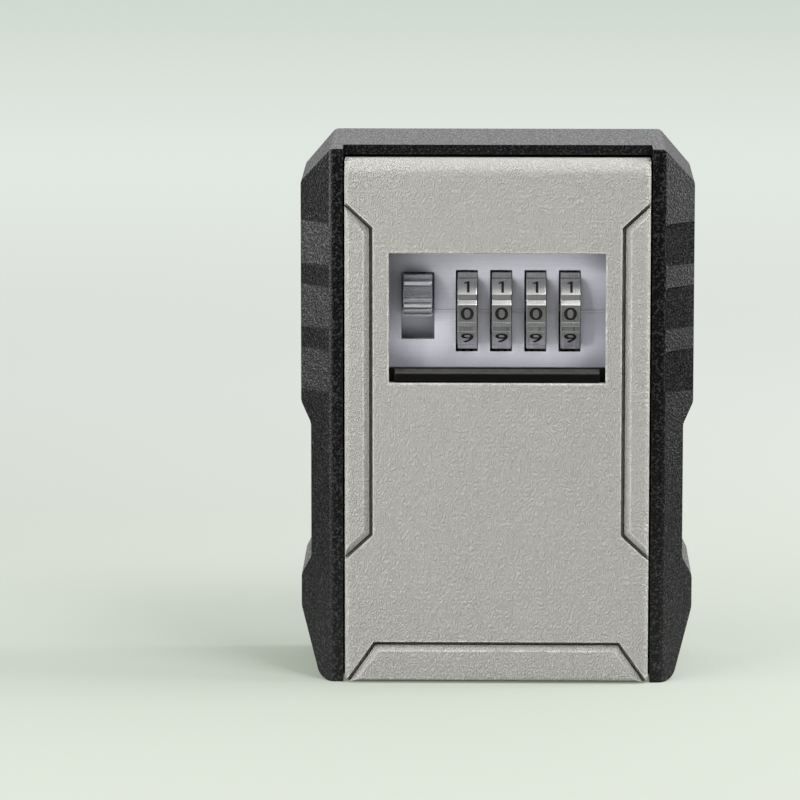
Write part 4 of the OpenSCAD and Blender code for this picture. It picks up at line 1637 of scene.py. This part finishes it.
def make_peel(name: str) -> bpy.types.NodeTree:
    """Makes the soft creases of a leather-textured coat, drawn out upright."""
    upright, fold_span = (1.25, 1.0, 0.6), (0.0, 0.16)
    fine_scale, fine_share, tone_scale = 3.2, 0.5, 0.03
    board, entry, result = start_group(name, {"Scale": 700.0}, ["Height", "Tone"])
    size = entry.outputs["Scale"]
    spots = board.put("TexCoord").outputs["Object"]
    run = board.put("Mapping", {"Vector": spots, "Scale": upright}, vector_type="POINT")
    place = run.outputs[0]
    creases = board.noise(place, size, detail=1.5, roughness=0.5, distortion=0.3)
    folds = board.sum("ABSOLUTE", board.sum("SUBTRACT", creases, 0.5))
    fine = board.noise(place, board.sum("MULTIPLY", size, fine_scale), detail=2.0, roughness=0.5)
    wide = board.noise(place, board.sum("MULTIPLY", size, tone_scale), detail=1.0)
    relief = board.sum("MULTIPLY", fine, fine_share)
    height = board.sum("ADD", board.spread(folds, fold_span), relief)
    board.link(height, result.inputs["Height"])
    board.link(wide, result.inputs["Tone"])
    return board.tree


def make_streaks(name: str) -> bpy.types.NodeTree:
    """Makes the fine lines of brushed or drawn metal."""
    tone_span, cloud_scale, cloud_share = (0.4, 0.9), 240.0, 0.3
    board, entry, result = start_group(name, {"Run": LineRun.UPRIGHT.value}, ["Height", "Tone"])
    place = board.put("TexCoord").outputs["Object"]
    scale = entry.outputs["Run"]
    run = board.put("Mapping", {"Vector": place, "Scale": scale}, vector_type="POINT")
    lines = board.noise(run.outputs[0], 1.0, detail=4.0, roughness=0.7)
    cloud = board.noise(place, cloud_scale, detail=2.0)
    tone = board.sum("ADD", lines, board.sum("MULTIPLY", cloud, cloud_share))
    board.link(lines, result.inputs["Height"])
    board.link(board.spread(tone, tone_span), result.inputs["Tone"])
    return board.tree


def make_wear(name: str) -> bpy.types.NodeTree:
    """Makes a painted highlight along outer edges, a thin light line broken into patches like
    rubbed wear.
    """
    least_bend, patch_scale, patch_span, patch_share = 0.001, 420.0, (0.3, 0.6), (0.2, 1.0)
    inputs = {"Radius": 0.0006, "Amount": 0.5, "Reach": 0.07}
    board, entry, result = start_group(name, inputs, ["Mask"])
    rounded = board.put("Bevel", {"Radius": entry.outputs["Radius"]}, samples=6).outputs[0]
    plain = board.put("NewGeometry").outputs["Normal"]
    turn = board.put("VectorMath", {0: rounded, 1: plain}, operation="DOT_PRODUCT")
    bend = board.sum("SUBTRACT", 1.0, turn.outputs["Value"])
    edge = board.spread(bend, (least_bend, entry.outputs["Reach"]))
    place = board.put("TexCoord").outputs["Object"]
    patch = board.noise(place, patch_scale, detail=4.0)
    rubbed_highlight = board.spread(patch, patch_span, patch_share)
    mask = board.sum("MULTIPLY", board.sum("MULTIPLY", edge, rubbed_highlight), entry.outputs["Amount"])
    board.link(mask, result.inputs["Mask"])
    return board.tree


def make_grime(name: str) -> bpy.types.NodeTree:
    """Makes painted shade, a darkening of the colour beside walls and in corners where little of
    the surroundings is open.
    """
    open_span = (0.3, 0.75)
    board, entry, result = start_group(name, {"Distance": 0.007, "Amount": 0.5}, ["Mask"])
    reach = {"Distance": entry.outputs["Distance"]}
    openness = board.put("AmbientOcclusion", reach, samples=8).outputs["AO"]
    corner = board.spread(openness, open_span, FALL)
    board.link(board.sum("MULTIPLY", corner, entry.outputs["Amount"]), result.inputs["Mask"])
    return board.tree


def make_dust(name: str) -> bpy.types.NodeTree:
    """Makes the faint dust that settles on faces turned upwards."""
    up_span, patch_scale = (0.5, 0.95), 900.0
    board, entry, result = start_group(name, {"Amount": 0.1}, ["Mask"])
    spots = board.put("TexCoord")
    up = board.put("SeparateXYZ", {0: spots.outputs["Normal"]}).outputs["Z"]
    lying = board.spread(up, up_span)
    patch = board.noise(spots.outputs["Object"], patch_scale, detail=5.0, roughness=0.7)
    mask = board.sum("MULTIPLY", board.sum("MULTIPLY", lying, patch), entry.outputs["Amount"])
    board.link(mask, result.inputs["Mask"])
    return board.tree


@dataclass(frozen=True)
class Finish:
    """What every finish has: a name, a colour, a roughness and a depth in millimetres."""

    name: str
    colour: Colour
    rough: float
    deep: float = 0.05

    def start(self) -> tuple[bpy.types.Material, Board, bpy.types.Node]:
        """Starts the material.

        Returns:
            The material, its board and its shader.
        """
        material = bpy.data.materials.new(self.name)
        material.use_nodes = True
        material.diffuse_color = (*self.colour, 1.0)
        board = Board(material.node_tree)
        shader = material.node_tree.nodes["Principled BSDF"]
        shader.inputs["Base Color"].default_value = (*self.colour, 1.0)
        shader.inputs["Roughness"].default_value = self.rough
        return material, board, shader

    def surface(
        self, board: Board, shader: bpy.types.Node, colour: Socket, rough: Socket, height: Socket
    ) -> None:
        """Feeds the shader with what changes over the surface.

        Args:
            board: The material's board.
            shader: Its shader.
            colour: Socket with the colour.
            rough: Socket with the roughness.
            height: Socket with the height, from 0 to about 1.
        """
        board.link(colour, shader.inputs["Base Color"])
        board.link(rough, shader.inputs["Roughness"])
        bump = board.put("Bump", {"Height": height, "Strength": 1.0, "Distance": self.deep * MM})
        board.link(bump.outputs[0], shader.inputs["Normal"])

    def shade(self, share: float) -> Colour:
        """Gives the finish's colour made lighter or darker by a share."""
        return tuple(min(1.0, part * share) for part in self.colour)


@dataclass(frozen=True)
class GrainedCoat(Finish):
    """A powder coat or moulded skin with a pebbled grain, whose lighter specks are partly its own
    tone and partly painted glints.
    """

    grain: float = 2500.0
    grain_span: Flat = (0.6, 1.1)
    pit: float = 0.6
    # brightness of the lighter specks, partly the grain's tone and partly painted glints
    speck: float = 1.6
    gloss: float = 0.08
    # strength, width and colour of the painted edge highlight
    wear: float = 0.3
    wear_r: float = 0.5
    bare: Colour = (0.1, 0.1, 0.1)
    dust: float = 0.05
    dust_grey: Colour = (0.3, 0.29, 0.27)
    ior: float = 1.5

    def make(self) -> bpy.types.Material:
        """Lays out the material."""
        material, board, shader = self.start()
        shader.inputs["IOR"].default_value = self.ior
        grain = Effect.GRAIN.place(board, scale=self.grain)
        wear = Effect.WEAR.place(board, radius=self.wear_r * MM, amount=self.wear)
        dust = Effect.DUST.place(board, amount=self.dust)
        # lighter specks: the grain's own tone, raised to paint the glints of the grain
        coat = board.tint(grain.outputs["Speck"], self.shade(self.pit), self.shade(self.speck))
        # lighter edges: a painted highlight, broken into patches like rubbed wear
        rubbed_highlight = board.tint(wear.outputs[0], coat, self.bare)
        dusty = board.tint(dust.outputs[0], rubbed_highlight, self.dust_grey)
        height = grain.outputs["Height"]
        ends = (self.rough + self.gloss, self.rough - self.gloss)
        rough = board.spread(height, self.grain_span, ends)
        self.surface(board, shader, dusty, rough, height)
        return material


@dataclass(frozen=True)
class LeatherCoat(Finish):
    """A powder coat with soft leather-like creases, darkened in its creases and grooves by painted
    shade.
    """

    deep: float = 0.17
    scale: float = 1550.0
    drift: float = 0.03
    # where and how much the creases are painted darker, as shade in the leather's relief
    crease_span: Flat = (0.1, 0.6)
    crease_share: Flat = (0.35, 0.0)
    crease_tone: float = 0.6
    # strength, width, reach and tone of the painted highlight on the groove rims and edges
    wear: float = 0.9
    wear_r: float = 0.5
    wear_reach: float = 0.006
    wear_tone: float = 1.6
    # strength, reach and tone of the painted shade in the grooves
    grime: float = 0.9
    grime_reach: float = 1.2
    grime_tone: float = 0.05
    rough_span: Flat = (0.1, 1.2)
    rough_swing: Flat = (0.08, -0.05)

    def make(self) -> bpy.types.Material:
        """Lays out the material."""
        material, board, shader = self.start()
        peel = Effect.PEEL.place(board, scale=self.scale)
        wear = Effect.WEAR.place(
            board, radius=self.wear_r * MM, amount=self.wear, reach=self.wear_reach
        )
        grime = Effect.GRIME.place(board, distance=self.grime_reach * MM, amount=self.grime)
        height = peel.outputs["Height"]
        base = board.tint(
            peel.outputs["Tone"], self.shade(1 - self.drift), self.shade(1 + self.drift)
        )
        # darker in the creases: painted shade
        crease_shade_mask = board.spread(height, self.crease_span, self.crease_share)
        coat = board.tint(crease_shade_mask, base, self.shade(self.crease_tone))
        # lighter groove rims and edges: a painted highlight
        rubbed_highlight = board.tint(wear.outputs[0], coat, self.shade(self.wear_tone))
        # darker in the grooves and beside walls: painted shade
        shaded_coat = board.tint(grime.outputs[0], rubbed_highlight, self.shade(self.grime_tone))
        ends = tuple(self.rough + swing for swing in self.rough_swing)
        rough = board.spread(height, self.rough_span, ends)
        self.surface(board, shader, shaded_coat, rough, height)
        return material


@dataclass(frozen=True)
class BrushedMetal(Finish):
    """Plated or lacquered metal with fine lines."""

    deep: float = 0.004
    metal: float = 1.0
    run: LineRun = LineRun.UPRIGHT
    contrast: float = 0.25
    # strength, width and tone of the painted edge highlight
    wear: float = 0.2
    wear_r: float = 0.3
    wear_tone: float = 1.3
    # strength, reach and tone of the painted shade beside walls and in corners
    grime: float = 0.0
    grime_reach: float = 9.0
    grime_tone: float = 0.3
    rough_swing: Flat = (1.3, 0.75)

    def make(self) -> bpy.types.Material:
        """Lays out the material."""
        material, board, shader = self.start()
        shader.inputs["Metallic"].default_value = self.metal
        streaks = Effect.STREAKS.place(board, run=self.run.value)
        wear = Effect.WEAR.place(board, radius=self.wear_r * MM, amount=self.wear)
        tone = streaks.outputs["Tone"]
        drawn = board.tint(tone, self.shade(1 - self.contrast), self.shade(1 + self.contrast))
        # lighter edges: a painted highlight
        coat = board.tint(wear.outputs[0], drawn, self.shade(self.wear_tone))
        # darker beside walls and in corners: painted shade
        if self.grime:
            grime = Effect.GRIME.place(board, distance=self.grime_reach * MM, amount=self.grime)
            coat = board.tint(grime.outputs[0], coat, self.shade(self.grime_tone))
        ends = tuple(self.rough * swing for swing in self.rough_swing)
        rough = board.spread(tone, RISE, ends)
        self.surface(board, shader, coat, rough, streaks.outputs["Height"])
        return material


class Finishes:
    """The set of finishes: one for each material slot of the record, and a few of their own."""

    def __init__(self) -> None:
        """Makes every material once."""
        across = LineRun.ACROSS
        finishes = {
            "digit_paint": GrainedCoat(
                "digit_paint",
                (0.012, 0.012, 0.012),
                0.5,
                deep=0.01,
                grain=4000.0,
                wear=0.0,
                dust=0.0,
            ),
            "case_black": GrainedCoat(
                "case_powder_coat",
                (0.0022, 0.0022, 0.0024),
                0.27,
                deep=0.06,
                grain=2300.0,
                # strong lighter specks: painted glints of the grain as well as its tone
                speck=16.0,
                gloss=0.17,
                wear=0.1,
                ior=1.37,
            ),
            "door_grey": LeatherCoat("door_leather_coat", (0.358, 0.351, 0.329), 0.5),
            "plate_silver": BrushedMetal(
                "plate_lacquer",
                (0.85, 0.85, 0.95),
                0.42,
                metal=0.1,
                run=across,
                contrast=0.04,
                wear=0.1,
                # painted shade beside the window's walls and between the wheels
                grime=0.85,
            ),
            "wheel_nickel": BrushedMetal(
                "wheel_nickel_plate", (0.64, 0.637, 0.637), 0.36, deep=0.002, contrast=0.12
            ),
            "button_chrome": BrushedMetal(
                "button_bright_chrome",
                (0.64, 0.64, 0.69),
                0.26,
                deep=0.0005,
                metal=0.85,
                run=across,
                contrast=0.04,
            ),
            "shutter_black": GrainedCoat(
                "shutter_plastic",
                (0.003, 0.003, 0.0032),
                0.36,
                deep=0.008,
                grain=5000.0,
                speck=1.2,
                wear=0.15,
                dust=0.3,
                ior=1.3,
            ),
            "cover_black": GrainedCoat(
                "cover_plastic", (0.018, 0.018, 0.019), 0.45, deep=0.04, grain=1800.0, speck=1.4
            ),
            "latch_grey": BrushedMetal(
                "latch_lacquer",
                (0.82, 0.82, 0.92),
                0.42,
                metal=0.1,
                run=across,
                contrast=0.04,
                wear=0.1,
            ),
            "dark_steel": BrushedMetal(
                "black_oxide_steel", (0.02, 0.02, 0.021), 0.5, contrast=0.15
            ),
            "steel": BrushedMetal("zinc_sheet", (0.5, 0.5, 0.51), 0.36, run=across, contrast=0.15),
            "screw_steel": BrushedMetal("screw_zinc", (0.58, 0.57, 0.55), 0.3, contrast=0.15),
            "spring_steel": BrushedMetal(
                "spring_wire_steel", (0.34, 0.34, 0.35), 0.3, contrast=0.15
            ),
            "hub_brass": BrushedMetal("turned_brass", (0.72, 0.52, 0.24), 0.3, contrast=0.15),
        }
        self.made = {slot: finish.make() for slot, finish in finishes.items()}

    def __getitem__(self, slot: str) -> bpy.types.Material:
        """Gives the material of a slot."""
        return self.made[slot]


# Studio

@dataclass(frozen=True)
class Softbox:
    """A rectangular studio light that looks at a point, with its sizes in metres."""

    name: str
    place: Spot
    aim: Spot
    size: Flat
    power: float

    def hang(self) -> None:
        """Adds the light to the scene."""
        lamp = bpy.data.lights.new(self.name, "AREA")
        lamp.shape = "RECTANGLE"
        lamp.size, lamp.size_y = self.size
        lamp.energy = self.power
        holder = bpy.data.objects.new(self.name, lamp)
        holder.location = self.place
        way = Vector(self.aim) - Vector(self.place)
        holder.rotation_euler = way.to_track_quat("-Z", "Y").to_euler()
        holder.visible_camera = False
        bpy.context.scene.collection.objects.link(holder)


@dataclass
class Studio:
    """The camera, the lights and the pale floor, with sizes in metres."""

    eye: Spot = (0.0, -1.2, 0.257)
    pitch: float = 80.62
    turn: float = 1.01
    lens: float = 251.1
    floor_half: float = 12.0
    paper: Colour = (0.43, 0.44, 0.41)
    # near the object the floor's glow is darker and greener than further back; together with the
    # lit paper it keeps the floor pale, and where the object's floor shadow takes the lamps' light
    # away it paints a green tint into that shadow
    floor_near: Colour = (0.46, 0.545, 0.425)
    floor_mid: Colour = (0.8, 0.84, 0.805)
    floor_far: Colour = (0.59, 0.665, 0.585)
    mid_span: Flat = (0.0, 0.4)
    far_span: Flat = (0.5, 2.0)
    glow_span: Flat = (0.1, 1.0)
    floor_glow: Flat = (0.4, 1.0)
    paper_rough: float = 0.9
    paper_gloss: float = 0.1
    card_x: Flat = (0.03, 0.05)
    card_y: Flat = (-0.36, -0.3)
    card_share: float = 0.3
    front_edge: Flat = (-0.2, -0.06)
    side_edge: Flat = (0.1, 0.2)
    room_dark: Colour = (0.03, 0.03, 0.03)
    sky_front: float = 0.03
    sky_rear: float = 0.82
    sky_above: float = 1.2
    rear_span: Flat = (0.0, 0.45)
    above_span: Flat = (0.5, 0.9)
    sky_left: Flat = (-0.6, -0.4)
    left_share: float = 0.1
    boxes: tuple[Softbox, ...] = (
        Softbox("key_box", (0.36, -0.42, 0.85), (0.0, -0.02, 0.06), (0.37, 0.37), 6.9),
        Softbox("fill_box", (-0.7, -0.75, 0.5), (0.0, -0.02, 0.06), (0.3, 0.3), 3.6),
        Softbox("left_box", (-0.45, -0.21, 0.2), (0.0, -0.21, 0.2), (0.29, 0.4), 2.2),
        Softbox("right_box", (0.45, 0.13, 0.2), (0.0, 0.13, 0.2), (0.24, 0.4), 1.1),
        Softbox("shadow_box", (0.75, 0.0, 0.55), (0.0, 0.0, 0.03), (0.3, 0.3), 6.5),
    )

    def build(self) -> None:
        """Sets up the whole studio."""
        self.camera()
        self.sky()
        self.floor()
        for box in self.boxes:
            box.hang()
        bpy.context.scene.view_settings.view_transform = "Standard"

    def camera(self) -> None:
        """Places the camera at the photograph's viewing angle."""
        view = bpy.data.cameras.new("view")
        view.lens = self.lens
        holder = bpy.data.objects.new("view", view)
        holder.location = self.eye
        holder.rotation_euler = (math.radians(self.pitch), 0.0, math.radians(self.turn))
        bpy.context.scene.collection.objects.link(holder)
        bpy.context.scene.camera = holder

    def sky(self) -> None:
        """Lights the room from behind and above, with a dim side towards the front."""
        world = bpy.data.worlds.new("studio_room")
        world.use_nodes = True
        bpy.context.scene.world = world
        board = Board(world.node_tree)
        background = world.node_tree.nodes["Background"]
        way = board.put("TexCoord").outputs["Generated"]
        parts = board.put("SeparateXYZ", {0: way})
        rear = board.spread(parts.outputs["Y"], self.rear_span)
        above = board.spread(parts.outputs["Z"], self.above_span)
        left = board.spread(parts.outputs["X"], self.sky_left, (self.left_share, 1.0))
        behind = board.tint(
            board.sum("MULTIPLY", rear, left), (self.sky_front,) * 3, (self.sky_rear,) * 3
        )
        lit = board.tint(above, behind, (self.sky_above,) * 3)
        seen = board.put("LightPath").outputs["Is Camera Ray"]
        board.link(board.tint(seen, lit, self.floor_far), background.inputs["Color"])

    def floor(self) -> None:
        """Lays the pale floor, which glows towards the camera and keeps the shadow."""
        deselect()
        bpy.ops.mesh.primitive_plane_add(size=2 * self.floor_half)
        ground = settle("studio_floor")
        material = bpy.data.materials.new("floor_paper")
        material.use_nodes = True
        board = Board(material.node_tree)
        paper = material.node_tree.nodes["Principled BSDF"]
        paper.inputs["Roughness"].default_value = self.paper_rough
        paper.inputs["Specular IOR Level"].default_value = self.paper_gloss
        place = board.put("TexCoord").outputs["Object"]
        parts = board.put("SeparateXYZ", {0: place})
        deep = parts.outputs["Y"]
        beside = board.sum("ABSOLUTE", parts.outputs["X"])
        middle = board.spread(deep, self.mid_span)
        far = board.spread(deep, self.far_span)
        pale = board.tint(far, board.tint(middle, self.floor_near, self.floor_mid), self.floor_far)
        rays = board.put("LightPath")
        glossy = rays.outputs["Is Glossy Ray"]
        front = board.spread(deep, self.front_edge, FALL)
        side = board.spread(beside, self.side_edge)
        room = board.sum("MAXIMUM", front, side)
        card = board.sum(
            "MULTIPLY",
            board.spread(beside, self.card_x, (self.card_share, 0.0)),
            board.spread(deep, self.card_y),
        )
        room = board.sum("MULTIPLY", room, board.sum("SUBTRACT", 1.0, card))
        hidden = board.sum("MULTIPLY", glossy, room)
        paint = board.tint(hidden, self.paper, self.room_dark)
        board.link(paint, paper.inputs["Base Color"])
        shown = board.tint(hidden, pale, self.room_dark)
        glow = board.put("Emission", {"Color": shown, "Strength": 1.0})
        seen = board.sum("MAXIMUM", rays.outputs["Is Camera Ray"], glossy)
        seen = board.sum("MAXIMUM", seen, rays.outputs["Is Transmission Ray"])
        share = board.sum("MULTIPLY", seen, board.spread(deep, self.glow_span, self.floor_glow))
        mix = board.put("MixShader", {0: share, 1: paper.outputs[0], 2: glow.outputs[0]})
        output = material.node_tree.nodes["Material Output"]
        board.link(mix.outputs[0], output.inputs["Surface"])
        ground.data.materials.append(material)


def main() -> None:
    """Builds the safe piece by piece, then the studio round it."""
    logging.basicConfig(level=logging.INFO, format="%(name)s: %(message)s")
    finishes = Finishes()
    CaseShell().build(finishes["case_black"])
    door = DoorPanel()
    door.build(finishes["door_grey"])
    wheels = NumberWheels()
    wheels.build(finishes["wheel_nickel"], finishes["digit_paint"])
    DialPlate().build(door, wheels, finishes["plate_silver"])
    ReleaseButton().build(finishes["button_chrome"])
    Shutter().build(door, finishes["shutter_black"])
    ReleaseSpring().build(finishes["spring_steel"])
    for part in SMALL_PARTS:
        part.build(finishes[part.finish or part.slot])
    Studio().build()


if __name__ == "__main__":
    main()
